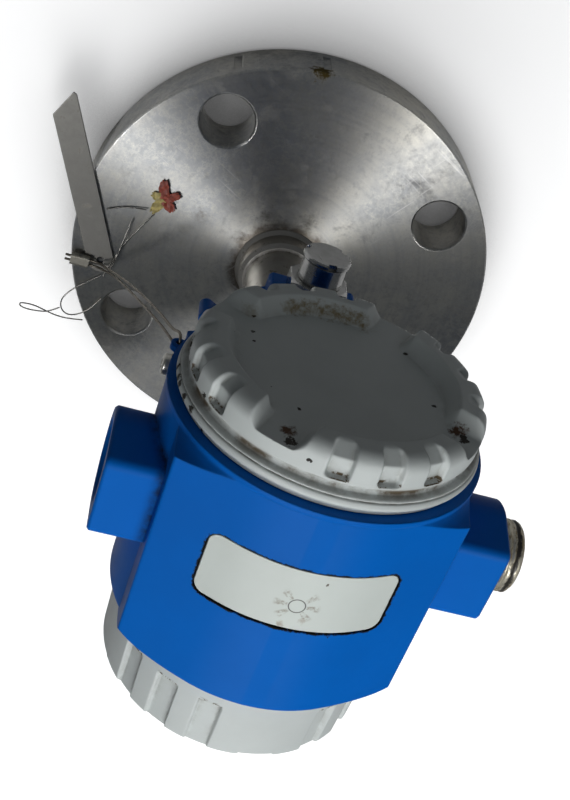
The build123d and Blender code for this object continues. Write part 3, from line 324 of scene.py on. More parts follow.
# %% [markdown]
# The front cover is the piece that the eye goes to. It is a screwed cap: a sunk disc, a raised ring cut by
# four channels into four arcs, a soft shoulder with three finger notches in each arc, a groove and a bead.
# A solid with sharp cuts looks machined, and this one is cast and painted. So the cap is one skin: the
# half section is carried round the axis, and two soft masks press the channels and notches into it.

# %% Front cover's section
cover_base_y = span("housing", 1)[0] - 0.3
bead_r = span("front_cover", 0)[1]
dense_from_r = 25.0
wall_lowest_h = 3.9
front = {
    "disc_r": 27.8, "disc_h": 10.9, "arc_inner_r": 30.8, "arc_h": 15.4, "wall_r": 38.7, "shoulder": 4.0,
    "wall_foot_h": 7.0, "groove_r": 38.0, "bead_h": 4.4, "skirt_r": 36.1, "skirt_inner_r": 33.5,
    "skirt_depth": 9.0, "roof": 3.0,
}
cover_columns = 900


def rounded(corners, soft, steps=5):
    """A section through corner points, with each corner replaced by a short curve that starts soft before
    it and ends soft after it: a quadratic from point to point with the corner as its control point."""
    corners = np.array(corners, float)
    out = [corners[:1]]
    share = np.linspace(0, 1, steps + 1)[:, None]
    for before, here, after, radius in zip(corners, corners[1:], corners[2:], soft):
        back = (before - here) / np.linalg.norm(before - here)
        ahead = (after - here) / np.linalg.norm(after - here)
        start = here + back * min(radius, np.linalg.norm(before - here) * 0.48)
        end = here + ahead * min(radius, np.linalg.norm(after - here) * 0.48)
        out.append((1 - share) ** 2 * start + 2 * share * (1 - share) * here + share ** 2 * end)
    out.append(corners[-1:])
    return np.vstack(out)


def resampled(line, longest):
    """The same section with points added, so that no step is longer than longest."""
    parts = []
    for start, end in zip(line, line[1:]):
        count = max(1, int(np.ceil(np.linalg.norm(end - start) / longest)))
        parts.append(start + (end - start) * np.linspace(0, 1, count, endpoint=False)[:, None])
    return np.vstack(parts + [line[-1:]])


angle_down = np.linspace(0, math.pi / 2, 23)[1:-1]
shoulder_centre = (front["wall_r"] - front["shoulder"], front["arc_h"] - front["shoulder"])
shoulder_arc = [
    (shoulder_centre[0] + front["shoulder"] * math.sin(a),
     shoulder_centre[1] + front["shoulder"] * math.cos(a))
    for a in angle_down
]
outer_top = rounded([
    (1.0, front["disc_h"]), (front["disc_r"], front["disc_h"]), (front["arc_inner_r"], front["arc_h"]),
    (shoulder_centre[0], front["arc_h"]),
], (0.3, 0.35))
outer_side = rounded([
    (front["wall_r"], shoulder_centre[1]), (front["wall_r"], front["wall_foot_h"]),
    (front["groove_r"], front["wall_foot_h"] - 0.7), (front["groove_r"], front["bead_h"] + 0.7),
    (bead_r - 0.9, front["bead_h"]), (bead_r, front["bead_h"] - 1.4), (bead_r, 1.9), (bead_r - 1.2, 0.7),
    (bead_r - 1.2, 0.0), (front["skirt_r"], 0.0), (front["skirt_r"], -front["skirt_depth"]),
    (front["skirt_inner_r"], -front["skirt_depth"]),
    (front["skirt_inner_r"], front["disc_h"] - front["roof"]), (1.0, front["disc_h"] - front["roof"]),
], (0.5, 0.35, 0.4, 0.5, 0.8, 0.4, 0.3, 0.1, 0.2, 0.2, 0.2, 0.5))
dense_top = np.vstack([
    resampled(outer_top[outer_top[:, 0] < dense_from_r], 6.0),
    resampled(outer_top[outer_top[:, 0] >= dense_from_r], 0.45),
])
wall = resampled(outer_side[outer_side[:, 1] > wall_lowest_h], 0.35)
rest = resampled(outer_side[outer_side[:, 1] <= wall_lowest_h], 3.0)
front_section = np.vstack([dense_top, shoulder_arc, wall, rest])
print("front cover: rings", len(front_section), "columns", cover_columns)

# %% [markdown]
# The channel mask depends on the sideways distance from each channel's centre line, and inside it the ring
# sinks to the disc's level. The notch mask is a slot with one round end, measured on the unrolled shoulder:
# along it runs the section's own length, across it the arc length. Its edge is a third of a millimetre soft.

# %% Front cover's channels and notches
channel_angle = 62.2
notch_centre_angle = 106.3
notch_pitch = 19.3
notch_half = 2.75
notch_corner = 1.2
notch_soft = 0.32
notch_ledge_h = 7.6
notch_start_r = 32.6
notch_unrolled_r = 36.0
channel_low, channel_high = 4.9, 7.5
far_away = 99.0
cover_angles = np.linspace(0, 360, cover_columns, endpoint=False)


def turned(angle, centre):
    """Degrees from centre to angle, between -180 and 180."""
    return (angle - centre + 180.0) % 360.0 - 180.0


def beside_channel(centre, radius):
    """Sideways distance from the centre line of a channel at an angle. It is far away on the other half."""
    turn = np.radians(turned(cover_angles[None], centre))
    return np.where(np.abs(turn) < 1.2, np.abs(np.sin(turn)) * radius, far_away)


def slot_mask(along, across, length, half_width, corner, soft):
    """1 inside a slot that has a round end at along = 0 and a flat end with round corners at length, and
    0 outside. Each end's distance is the corner's radius less the distance from the corner's centre."""
    start = half_width - np.hypot(np.minimum(along - half_width, 0.0), across)
    past_side = np.abs(across) - (half_width - corner)
    past_foot = along - (length - corner)
    outside = np.hypot(np.maximum(past_side, 0.0), np.maximum(past_foot, 0.0))
    foot = corner - outside - np.minimum(np.maximum(past_side, past_foot), 0.0)
    return smooth_step(-soft, soft, np.minimum(start, foot))


section_r, section_h = front_section[:, :1], front_section[:, 1:]
on_top = np.arange(len(front_section))[:, None] < len(dense_top) + len(shoulder_arc) + len(wall)
steps = np.linalg.norm(np.diff(front_section, axis=0), axis=1)
section_run = np.concatenate([[0], np.cumsum(steps)])[:, None]
notch_start_run = float(np.interp(notch_start_r, dense_top[:, 0], section_run[:len(dense_top), 0]))
wall_top_run = section_run[len(dense_top) + len(shoulder_arc), 0]
notch_end_run = wall_top_run + shoulder_centre[1] - notch_ledge_h
notch_length = notch_end_run - notch_start_run
notch_floor = rounded([(33.2, 15.3), (33.8, 14.9), (37.0, 12.5), (37.1, notch_ledge_h)], (0.3, 0.35), 6)
floor_run = np.concatenate([[0], np.cumsum(np.linalg.norm(np.diff(notch_floor, axis=0), axis=1))])
notch_share = np.clip((section_run[:, 0] - notch_start_run) / notch_length, 0, 1)
floor_r = np.interp(notch_share * floor_run[-1], floor_run, notch_floor[:, 0])[:, None]
floor_h = np.interp(notch_share * floor_run[-1], floor_run, notch_floor[:, 1])[:, None]

radius = section_r + 0 * cover_angles
height = section_h + 0 * cover_angles
notch_mask = np.zeros_like(radius)
for group in range(4):
    for i in (-1, 0, 1):
        centre = notch_centre_angle + 90.0 * group + i * notch_pitch
        across = np.radians(turned(cover_angles[None], centre)) * notch_unrolled_r
        along = section_run - notch_start_run
        mask = slot_mask(along, across, notch_length, notch_half, notch_corner, notch_soft)
        notch_mask = np.maximum(notch_mask, mask * on_top * (np.abs(across) < 8.0))
radius = radius + (floor_r - radius) * notch_mask
height = height + (floor_h - height) * notch_mask
# A band along the notches' edges, used only to paint a highlight on the notch rims.
notch_rim_highlight = 4.0 * notch_mask * (1.0 - notch_mask)
channel_mask = np.zeros_like(radius)
for group in range(4):
    across = beside_channel(channel_angle + 90.0 * group, radius)
    channel_mask = np.maximum(channel_mask, 1.0 - soft_ramp(channel_low, channel_high, across, 0.15))
above_disc = height - front["disc_h"]
lip_soft = 0.7 * smooth_step(31.0, 36.0, section_r)
sunk = 0.5 * (above_disc + np.sqrt(above_disc ** 2 + lip_soft ** 2)) * on_top
height = height - sunk * channel_mask


def place_on_cover_axis(r, h, base_y, outward):
    """Points at radius r and height h over a cover's base. The angle runs from +X to +Z."""
    turn = np.radians(cover_angles)[None]
    x = r * np.cos(turn)
    z = cover_axis_z + r * np.sin(turn)
    return np.stack([x, base_y + outward * h + 0 * x, z], axis=-1)


front_rings = place_on_cover_axis(radius, height, cover_base_y, -1.0)
ledge = np.exp(-((section_run - notch_end_run) / 0.9) ** 2) * (notch_mask > 0.02)
groove = np.exp(-((section_h - front["bead_h"] - 1.2) / 1.1) ** 2) * (section_r > 36.5) * (section_h > 0)
front_cap = skin(
    "front_cover_cap", front_rings,
    (0, cover_base_y - front["disc_h"], cover_axis_z),
    (0, cover_base_y - front["disc_h"] + front["roof"], cover_axis_z),
    {"ledge": ledge + 0 * radius, "groove": groove + 0 * radius, "rim_highlight": notch_rim_highlight},
)
print("front cover faces:", len(front_cap.data.polygons))

# %% [markdown]
# The rear cover is a plainer cap with a slight draft. Its notches run out through the face, so their mask
# is a slot with a flat foot and no end above it. Between the groups the raised ring of its face is cut
# through down to the sunk disc.

# %% Rear cover
rear = {
    "r": 39.0, "height": 22.7, "draft": 0.7, "foot": 5.8, "half": 3.25, "depth": 2.0, "channel_half": 5.0,
    "recess": 1.5, "recess_r": 29.0, "ring_inner_r": 30.5, "unrolled_r": 38.6,
}
rear_base_y = span("rear_cover", 1)[1] - rear["height"]
rear_group_angle = 56.8
rear_notch_pitch = 19.4
rear_disc_h = rear["height"] - rear["recess"]
rear_roof_h = rear_disc_h - front["roof"]
rear_section = rounded([
    (1.0, rear_disc_h), (rear["recess_r"], rear_disc_h), (rear["ring_inner_r"], rear["height"]),
    (rear["r"] - rear["draft"], rear["height"]), (rear["r"], 0.5), (rear["r"] - 0.5, 0.0),
    (front["skirt_r"], 0.0), (front["skirt_r"], -front["skirt_depth"]),
    (front["skirt_inner_r"], -front["skirt_depth"]), (front["skirt_inner_r"], rear_roof_h),
    (1.0, rear_roof_h),
], (0.8, 0.4, 1.5, 0.3, 0.3, 0.2, 0.2, 0.2, 0.5))
base_row = np.argmax(rear_section[:, 1] < 0.05) + 1
visible = resampled(rear_section[:base_row], 0.5)
hidden = resampled(rear_section[base_row:], 4.0)
plain = visible[:, 0] < 28
rear_section = np.vstack([visible[plain][::8], visible[~plain], hidden])
r_rear = rear_section[:, :1] + 0 * cover_angles
h_rear = rear_section[:, 1:] + 0 * cover_angles
rear_mask = np.zeros_like(r_rear)
for group in range(4):
    for i in (-1, 0, 1):
        centre = rear_group_angle + 90.0 * group + i * rear_notch_pitch
        across = np.abs(np.radians(turned(cover_angles[None], centre)) * rear["unrolled_r"])
        side = 1.0 - smooth_step(rear["half"] - 0.2, rear["half"] + 0.2, across)
        rear_mask = np.maximum(rear_mask, side)
above_foot = smooth_step(rear["foot"] - 0.3, rear["foot"] + 0.4, h_rear)
outside = smooth_step(29.8, 30.8, r_rear) * (rear_section[:, 1:] > 0)
notch_floor_r = rear["r"] - rear["depth"]
r_rear = np.where(
    r_rear > notch_floor_r,
    r_rear + (notch_floor_r - r_rear) * rear_mask * above_foot * outside,
    r_rear,
)
for group in range(4):
    across = beside_channel(rear_group_angle + 45.0 + 90.0 * group, r_rear)
    face_channel = 1.0 - smooth_step(rear["channel_half"] - 0.2, rear["channel_half"] + 0.3, across)
    above_recess = np.clip(h_rear - rear_disc_h, 0.0, None)
    h_rear = h_rear - above_recess * face_channel * (rear_section[:, 1:] > 5.0)
rear_rings = place_on_cover_axis(r_rear, h_rear, rear_base_y, 1.0)
rear_foot = np.exp(-((h_rear - rear["foot"]) / 0.7) ** 2) * rear_mask * outside
# The same band on the rear cover's notches, for their painted highlight.
rear_rim_highlight = 4.0 * rear_mask * (1.0 - rear_mask) * outside
rear_cap = skin(
    "rear_cover_cap", rear_rings[:, ::-1],
    (0, rear_base_y + rear_disc_h, cover_axis_z), (0, rear_base_y + rear_roof_h, cover_axis_z),
    {"ledge": rear_foot[:, ::-1], "groove": 0 * r_rear, "rim_highlight": rear_rim_highlight[:, ::-1]},
)
print("rear cover faces:", len(rear_cap.data.polygons))

# %% [markdown]
# The stopping plug is screwed into one entry, and part of its thread stands out. A thread is a screw
# surface: the radius follows a triangle wave whose phase moves on by one pitch for each turn.

# %% Stopping plug
plug_low, plug_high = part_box("stopping_plug")
plug_outer_x = plug_low[0] / MM
plug_inner_x = plug_high[0] / MM
plug_y = (plug_low[1] + plug_high[1]) / 2 / MM
plug_r = (plug_high[1] - plug_low[1]) / 2 / MM
thread_pitch = 1.5
thread_depth = 0.35
key_flats = 10.0
key_depth = 6.0
key_bevel = 0.3
end_chamfer = 1.1


def plug_rings():
    """Rings from the key's floor up its hexagon, over the end face, along the thread to the inner end.
    A hexagon's radius is half its width over flats divided by the cosine of the turn from the nearest flat.
    The thread's radius falls by its depth as a triangle wave of (length / pitch - turn)."""
    turn = np.linspace(0, 2 * np.pi, 240, endpoint=False)
    hexagon = key_flats / 2 / np.cos((turn + np.pi / 6) % (np.pi / 3) - np.pi / 6)
    rows = []
    mouth = hexagon + key_bevel
    for x, r in ((key_depth, hexagon), (key_bevel, hexagon), (0.0, mouth)):
        rows.append((plug_outer_x + x, r))
    for share in (0.35, 0.7, 1.0):
        rows.append((plug_outer_x, mouth + (plug_r - end_chamfer - mouth) * share))
    length = plug_inner_x - plug_outer_x
    for x in np.arange(0.1, length - 0.05, 0.1):
        wave = (x / thread_pitch - turn / (2 * np.pi)) % 1.0
        ridge = 1.0 - 2.0 * np.abs(wave - 0.5)
        depth = thread_depth * (1.0 - np.minimum(ridge * 1.25, 1.0))
        taper = max(0.0, 1.0 - x)
        rows.append((plug_outer_x + x, np.minimum(plug_r - depth, plug_r - taper)))
    rows.append((plug_inner_x, np.full_like(turn, plug_r - 1.0)))
    return np.array([
        np.stack([np.full_like(turn, x), plug_y + r * np.cos(turn), entry_axis_z + r * np.sin(turn)], axis=-1)
        for x, r in rows
    ])


rings = plug_rings()
skin(
    "stopping_plug_threaded", rings[:, ::-1],
    (plug_outer_x + key_depth, plug_y, entry_axis_z), (plug_inner_x, plug_y, entry_axis_z),
)

# %% [markdown]
# A crumpled foil seal hangs at the wire's end: five leaves of thin sheet, two yellow and three red. Each
# leaf is a small sheet with a ragged outline, lifted along folds, and Solidify gives it its thickness.

# %% Crumpled foil seal
seal_x, seal_y = 47.6, -15.2
seal_z = flange_top + 0.45
foil_thickness = 0.12
chance = np.random.default_rng(11)
leaf_plans = [
    ("red", 215, 6.0, 3.6), ("red", 140, 5.4, 3.8), ("yellow", 60, 6.6, 3.6), ("yellow", -15, 4.8, 3.4),
    ("red", -75, 7.4, 4.0),
]


def foil_leaf(name, turn, length, width):
    """A leaf on a grid of share along and share across. Its half width follows 0.45 + 0.55 sin(pi share)^0.6
    with a ragged edge, and it is lifted by folds, which are sharp waves of a slanting distance."""
    rows, columns = 26, 15
    along = np.linspace(0, 1, rows)[:, None]
    across = np.linspace(-1, 1, columns)[None]
    ragged = np.interp(along[:, 0], np.linspace(0, 1, 7), chance.uniform(0.82, 1.1, 7))[:, None]
    half = width / 2 * (0.45 + 0.55 * np.sin(np.pi * np.clip(along * 0.9 + 0.1, 0, 1)) ** 0.6) * ragged
    u = along * length * (1 + 0.06 * np.sin(5 * across + turn))
    v = across * half
    fold = np.abs(((u * 0.55 + v * chance.uniform(0.3, 0.8) + turn) % 2.0) - 1.0)
    crease = np.abs(((u * 0.3 - v * 0.7 + turn * 0.3) % 1.6) - 0.8)
    lift = 0.25 + 0.55 * fold + 0.35 * crease
    a = math.radians(turn)
    x = seal_x + u * math.cos(a) - v * math.sin(a)
    y = seal_y + u * math.sin(a) + v * math.cos(a)
    rings = np.stack([x, y, seal_z + lift], axis=-1)
    leaf = skin(name, rings, closed=False)
    sheet = leaf.modifiers.new("foil", "SOLIDIFY")
    sheet.thickness = foil_thickness * MM
    sheet.offset = 0.0
    leaf.data.shade_flat()
    return leaf


leaf_names = {"yellow": [], "red": []}
for number, (colour, turn, length, width) in enumerate(leaf_plans):
    leaf_name = f"seal_leaf_{number + 1}"
    foil_leaf(leaf_name, turn, length, width)
    leaf_names[colour].append(leaf_name)

# %% [markdown]
# ## Materials
# A finish is more than a colour. Paint has a faint orange peel and collects dirt in corners, where painted
# shade darkens it too, turned steel has rings that stretch its reflections, and handled metal has clouds and
# scratches. Each such effect is a group of shader nodes with named inputs, built once and placed in every
# material that shows it.

# %% Helpers for shader trees
def connect(tree, node, sockets):
    """Sets a node's inputs, by name or number, to values or to other nodes' outputs."""
    for key, value in sockets.items():
        if isinstance(value, bpy.types.NodeSocket):
            tree.links.new(value, node.inputs[key])
        else:
            node.inputs[key].default_value = value
    return node


def add(tree, kind, sockets=None, **settings):
    """Adds a shader node with its settings and its inputs."""
    node = tree.nodes.new("ShaderNode" + kind)
    for key, value in settings.items():
        setattr(node, key, value)
    return connect(tree, node, sockets or {})


def calc(tree, operation, a, b=0.0, c=0.0, clamp=False):
    """One operation on numbers or sockets, such as ADD or MULTIPLY."""
    return add(tree, "Math", {0: a, 1: b, 2: c}, operation=operation, use_clamp=clamp).outputs[0]


def remap(tree, value, low, high, to_low=0.0, to_high=1.0, smooth=True):
    """Maps a value's range from low and high to new limits, with a soft start and end."""
    kind = "SMOOTHSTEP" if smooth else "LINEAR"
    sockets = {"Value": value, "From Min": low, "From Max": high, "To Min": to_low, "To Max": to_high}
    return add(tree, "MapRange", sockets, interpolation_type=kind).outputs[0]


def scaled(tree, a, b):
    """The product of two numbers or sockets."""
    return calc(tree, "MULTIPLY", a, b)


def vector(tree, operation, a, b=(0.0, 0.0, 0.0)):
    """One operation on vectors, such as CROSS_PRODUCT. The outputs are a vector and a number, Value."""
    return add(tree, "VectorMath", {0: a, 1: b}, operation=operation).outputs


def blend_colour(tree, share, a, b):
    """Colour a where share is 0, and colour b where it is 1. A plain colour gets its fourth value here."""
    a, b = ([*colour, 1.0] if isinstance(colour, tuple) else colour for colour in (a, b))
    return add(tree, "Mix", {0: share, 6: a, 7: b}, data_type="RGBA").outputs[2]


def noise(tree, coordinates, scale, detail=4.0, roughness=0.55, distortion=0.0):
    """Cloudy noise between 0 and 1 at a scale in cycles per metre."""
    sockets = {"Vector": coordinates, "Scale": scale, "Detail": detail, "Roughness": roughness,
               "Distortion": distortion}
    return add(tree, "TexNoise", sockets).outputs[0]


def shader_group(name, inputs, outputs):
    """A new node group with its interface. inputs and outputs map a socket's name to its kind."""
    tree = bpy.data.node_groups.new(name, "ShaderNodeTree")
    for key, (kind, value) in inputs.items():
        socket = tree.interface.new_socket(key, in_out="INPUT", socket_type="NodeSocket" + kind)
        if value is not None:
            socket.default_value = value
    for key, kind in outputs.items():
        tree.interface.new_socket(key, in_out="OUTPUT", socket_type="NodeSocket" + kind)
    return tree, tree.nodes.new("NodeGroupInput").outputs, tree.nodes.new("NodeGroupOutput").inputs


def place_group(tree, group, sockets):
    """Puts a group into a material and sets its inputs."""
    node = tree.nodes.new("ShaderNodeGroup")
    node.node_tree = group
    return connect(tree, node, sockets).outputs


# %% [markdown]
# Dirt gathers where a surface is closed in, and shade falls there too. Ambient Occlusion measures that
# closeness, so its mask paints dirt and painted shade together, and noise breaks it into patches, so it isn't
# a drawn line.

# %% Group: dirt and painted shade in recesses
recess_dirt_shade_group, given, result = shader_group(
    "recess_dirt_and_shade",
    {"Coordinates": ("Vector", None), "Reach": ("Float", 0.002), "Amount": ("Float", 0.5),
     "Patch Scale": ("Float", 300.0)},
    {"Mask": "Float"},
)
# This mask darkens closed-in places: it is dirt and painted shade together.
closeness = add(recess_dirt_shade_group, "AmbientOcclusion", {"Distance": given["Reach"]}, samples=6, only_local=True)
closed_in = remap(recess_dirt_shade_group, closeness.outputs["AO"], 0.95, 0.45)
patches = noise(recess_dirt_shade_group, given["Coordinates"], given["Patch Scale"], 5.0, 0.65)
broken = remap(recess_dirt_shade_group, patches, 0.35, 0.62)
mask = calc(recess_dirt_shade_group, "MULTIPLY", closed_in, broken)
recess_dirt_shade_group.links.new(calc(recess_dirt_shade_group, "MULTIPLY", mask, given["Amount"], clamp=True), result["Mask"])

# %% [markdown]
# Specks are small dark chips and spatters. A Voronoi texture gives scattered cells, and only the middle
# of a few of them is kept, chosen by the cell's own random colour.

# %% Group: specks
speck_group, given, result = shader_group(
    "specks",
    {"Coordinates": ("Vector", None), "Scale": ("Float", 300.0), "Size": ("Float", 0.2),
     "Share": ("Float", 0.1)},
    {"Mask": "Float"},
)
warp = noise(speck_group, given["Coordinates"], 900.0, 2.0)
shift = calc(speck_group, "MULTIPLY", warp, 0.0012)
moved = vector(speck_group, "ADD", given["Coordinates"], shift)[0]
cells = add(speck_group, "TexVoronoi", {"Vector": moved, "Scale": given["Scale"]})
core = calc(speck_group, "LESS_THAN", cells.outputs["Distance"], given["Size"])
chosen = add(speck_group, "SeparateColor", {0: cells.outputs["Color"]})
kept = calc(speck_group, "LESS_THAN", chosen.outputs[0], given["Share"])
speck_group.links.new(calc(speck_group, "MULTIPLY", core, kept), result["Mask"])

# %% [markdown]
# Scratches are thin straight marks. A fine noise squeezed along one direction turns into long streaks, and
# only its highest peaks are kept. A second, slow noise leaves parts of the face without any.

# %% Group: scratches
scratch_group, given, result = shader_group(
    "scratches",
    {"Coordinates": ("Vector", None), "Angle": ("Float", 0.0), "Scale": ("Float", 900.0),
     "Amount": ("Float", 0.5)},
    {"Mask": "Float"},
)
aligned = add(scratch_group, "VectorRotate", {"Vector": given["Coordinates"], "Angle": given["Angle"]},
              rotation_type="Z_AXIS").outputs[0]
squeezed = vector(scratch_group, "MULTIPLY", aligned, (0.035, 1.0, 0.035))[0]
streaks = remap(scratch_group, noise(scratch_group, squeezed, given["Scale"], 2.0, 0.5), 0.68, 0.76)
areas = remap(scratch_group, noise(scratch_group, given["Coordinates"], 35.0, 2.0), 0.42, 0.58)
drawn = calc(scratch_group, "MULTIPLY", streaks, areas)
scratch_group.links.new(calc(scratch_group, "MULTIPLY", drawn, given["Amount"]), result["Mask"])

# %% [markdown]
# Rust, old paste and chips sit at places of their own. A stain is round at heart: how close a point is to
# its centre, plus a noise, must pass a limit, and so its outline comes out ragged.

# %% Group: ragged stain
stain_group, given, result = shader_group(
    "ragged_stain",
    {"Coordinates": ("Vector", None), "Centre": ("Vector", None), "Reach": ("Float", 0.004),
     "Grain": ("Float", 500.0), "Softness": ("Float", 0.12)},
    {"Mask": "Float"},
)
away = vector(stain_group, "DISTANCE", given["Coordinates"], given["Centre"])["Value"]
closeness = calc(stain_group, "SUBTRACT", 1.0, calc(stain_group, "DIVIDE", away, given["Reach"]))
ragged = noise(stain_group, given["Coordinates"], given["Grain"], 5.0, 0.7)
ragged = calc(stain_group, "MULTIPLY_ADD", ragged, 2.0, -1.0)
past_limit = calc(stain_group, "SUBTRACT", calc(stain_group, "ADD", closeness, ragged), 0.4)
stain_group.links.new(
    calc(stain_group, "DIVIDE", past_limit, given["Softness"], clamp=True), result["Mask"])


def stained(tree, where, base, places):
    """The base colour with stains over it. A place is its centre and reach in mm, its grain, its softness
    and its colour. Returns the colour and a mask of all the stains."""
    covered = 0.0
    for centre, reach, grain, softness, colour in places:
        mask = place_group(tree, stain_group, {
            "Coordinates": where, "Centre": tuple(value * MM for value in centre), "Reach": reach * MM,
            "Grain": grain, "Softness": softness})["Mask"]
        base = blend_colour(tree, mask, base, colour)
        covered = calc(tree, "MAXIMUM", covered, mask)
    return base, covered


# %% [markdown]
# Cast and turned edges are never sharp. The Bevel node bends the shading normal near an edge, so that the
# edge catches light as a small rounding does. Bump then adds a finish's own relief on top. Every finish ends
# with Bump, and all but rubber, plastic and foil put it over this group.

# %% Group: soft edges, and the end of every material
edge_group, given, result = shader_group("soft_edges", {"Radius": ("Float", 0.0006)}, {"Normal": "Vector"})
soft_normal = add(edge_group, "Bevel", {"Radius": given["Radius"]}, samples=6)
edge_group.links.new(soft_normal.outputs[0], result["Normal"])


def new_material(name):
    """An empty material with a Principled shader, and its tree and Object coordinates."""
    material = bpy.data.materials.new(name)
    material.use_nodes = True
    tree = material.node_tree
    coordinates = add(tree, "TexCoord").outputs["Object"]
    return material, tree, tree.nodes["Principled BSDF"], coordinates


def finish_with(tree, shader, sockets, height, strength, distance, edge_radius=None):
    """Sets the shader's inputs, and its normal by Bump, over soft edges when an edge radius is given."""
    bump = {"Strength": strength, "Distance": distance, "Height": height}
    if edge_radius:
        bump["Normal"] = place_group(tree, edge_group, {"Radius": edge_radius})["Normal"]
    connect(tree, shader, {**sockets, "Normal": add(tree, "Bump", bump).outputs[0]})


# %% [markdown]
# Paint: a colour with slow clouds in it, a grain in the gloss, a faint orange peel, grime and painted shade
# in the recesses and a few chips. The blue housing and the grey covers are this one recipe with other values.
# Soot and grime also fill the gap round the data plate, along the outline of a rectangle with round corners.

# %% Painted metal
plate_half_x, plate_half_y, plate_corner, plate_centre_y = 24.2, 9.5, 3.0, -10.5
soot = (0.02, 0.018, 0.016)


def plate_grime(tree, where):
    """A ragged line round the data plate: the distance outside a rounded rectangle, less a noise."""
    axes = add(tree, "SeparateXYZ", {0: where}).outputs
    from_side = calc(tree, "ABSOLUTE", axes[0])
    from_end = calc(tree, "ABSOLUTE", calc(tree, "SUBTRACT", axes[1], plate_centre_y * MM))
    past_side = calc(tree, "SUBTRACT", from_side, (plate_half_x - plate_corner) * MM)
    past_end = calc(tree, "SUBTRACT", from_end, (plate_half_y - plate_corner) * MM)
    beyond = {0: calc(tree, "MAXIMUM", past_side, 0.0), 1: calc(tree, "MAXIMUM", past_end, 0.0)}
    from_corner = vector(tree, "LENGTH", add(tree, "CombineXYZ", beyond).outputs[0])["Value"]
    outside = calc(tree, "SUBTRACT", from_corner, plate_corner * MM)
    wander = noise(tree, where, 480.0, 5.0, 0.75)
    line = remap(tree, calc(tree, "MULTIPLY_ADD", wander, -2.6 * MM, outside), -0.35 * MM, -0.75 * MM)
    return scaled(tree, line, remap(tree, axes[2], 0.185, 0.190))


def painted(name, colour, roughness, grime_shade_colour, grime_shade_reach, grime_shade_amount, chips, edge_radius, places,
            marks=False, gap_grime=False, specular=0.5):
    """A painted casting. colour is linear, the soiling colour serves its soiling and the painted shade in its
    recesses, and places are its stains. marks reads the cap's own values for its notch ledges, groove and the
    painted highlight on its notch rims; gap_grime runs round the plate."""
    material, tree, shader, where = new_material(name)
    clouds = noise(tree, where, 30.0, 5.0, 0.6)
    shade = tuple(c * 0.86 for c in colour)
    base = blend_colour(tree, remap(tree, clouds, 0.3, 0.7, 0.0, 0.55), colour, shade)
    # Ambient Occlusion darkens the paint in its recesses: dirt, and painted shade in corners and seams.
    dirt_and_shade = place_group(tree, recess_dirt_shade_group, {
        "Coordinates": where, "Reach": grime_shade_reach, "Amount": grime_shade_amount, "Patch Scale": 260.0})["Mask"]
    if marks:
        ledge, groove, rim_highlight = (
            add(tree, "Attribute", attribute_name=key).outputs["Fac"] for key in ("ledge", "groove", "rim_highlight"))
        crust = remap(tree, noise(tree, where, 420.0, 6.0, 0.75), 0.46, 0.55)
        film = remap(tree, noise(tree, where, 90.0, 6.0, 0.65), 0.40, 0.60)
        outline = remap(tree, calc(tree, "ABSOLUTE", calc(tree, "SUBTRACT", ledge, 0.5)), 0.49, 0.2)
        ledge_dirt = scaled(tree, calc(tree, "MULTIPLY_ADD", ledge, 0.3, outline), crust)
        marks_dirt = calc(tree, "MAXIMUM", ledge_dirt, scaled(tree, groove, film))
        dirt_and_shade = calc(tree, "MAXIMUM", dirt_and_shade, marks_dirt, clamp=True)
        # The notch rims are painted 15 % lighter: a painted highlight, where a rounded paint lip would catch
        # light.
        base = blend_colour(tree, scaled(tree, rim_highlight, 0.25), base, tuple(c * 1.15 for c in colour))
    base = blend_colour(tree, dirt_and_shade, base, grime_shade_colour)
    chip_mask = place_group(tree, speck_group, {
        "Coordinates": where, "Scale": 210.0, "Size": 0.16, "Share": chips})["Mask"]
    base = blend_colour(tree, chip_mask, base, soot)
    base, covered = stained(tree, where, base, places)
    if gap_grime:
        line = plate_grime(tree, where)
        base = blend_colour(tree, line, base, (0.012, 0.012, 0.01))
        covered = calc(tree, "MAXIMUM", covered, line)
    dirt_and_shade = calc(tree, "MAXIMUM", dirt_and_shade, covered)
    gloss = calc(tree, "MULTIPLY_ADD", clouds, 0.16, roughness - 0.08)
    gloss = calc(tree, "MULTIPLY_ADD", dirt_and_shade, 0.35, gloss, clamp=True)
    fine = noise(tree, where, 1500.0, 3.0, 0.6)
    peel = calc(tree, "MULTIPLY_ADD", fine, 0.3, noise(tree, where, 330.0, 2.0))
    relief = calc(tree, "SUBTRACT", peel, scaled(tree, chip_mask, 0.8))
    relief = calc(tree, "MULTIPLY_ADD", covered, 0.7, relief)
    finish_with(tree, shader, {"Base Color": base, "Roughness": gloss, "Specular IOR Level": specular},
                relief, 0.10, 0.0003, edge_radius)
    return material


# %% [markdown]
# The real cover has rust, old paste and chips at places that the eye remembers, so they are listed. A
# stain's place is its angle, radius and height on the cap, which is how it was measured. Three rows of
# them repeat at a step: paste in the low ledges, and black spots along the bead and the shoulder's foot.

# %% Stains, and the two paints
def on_cap(angle, radius, height):
    """A point of the front cover in mm, from its angle on the cap, its radius and its height."""
    turn = math.radians(angle)
    return (radius * math.cos(turn), cover_base_y - height, cover_axis_z + radius * math.sin(turn))


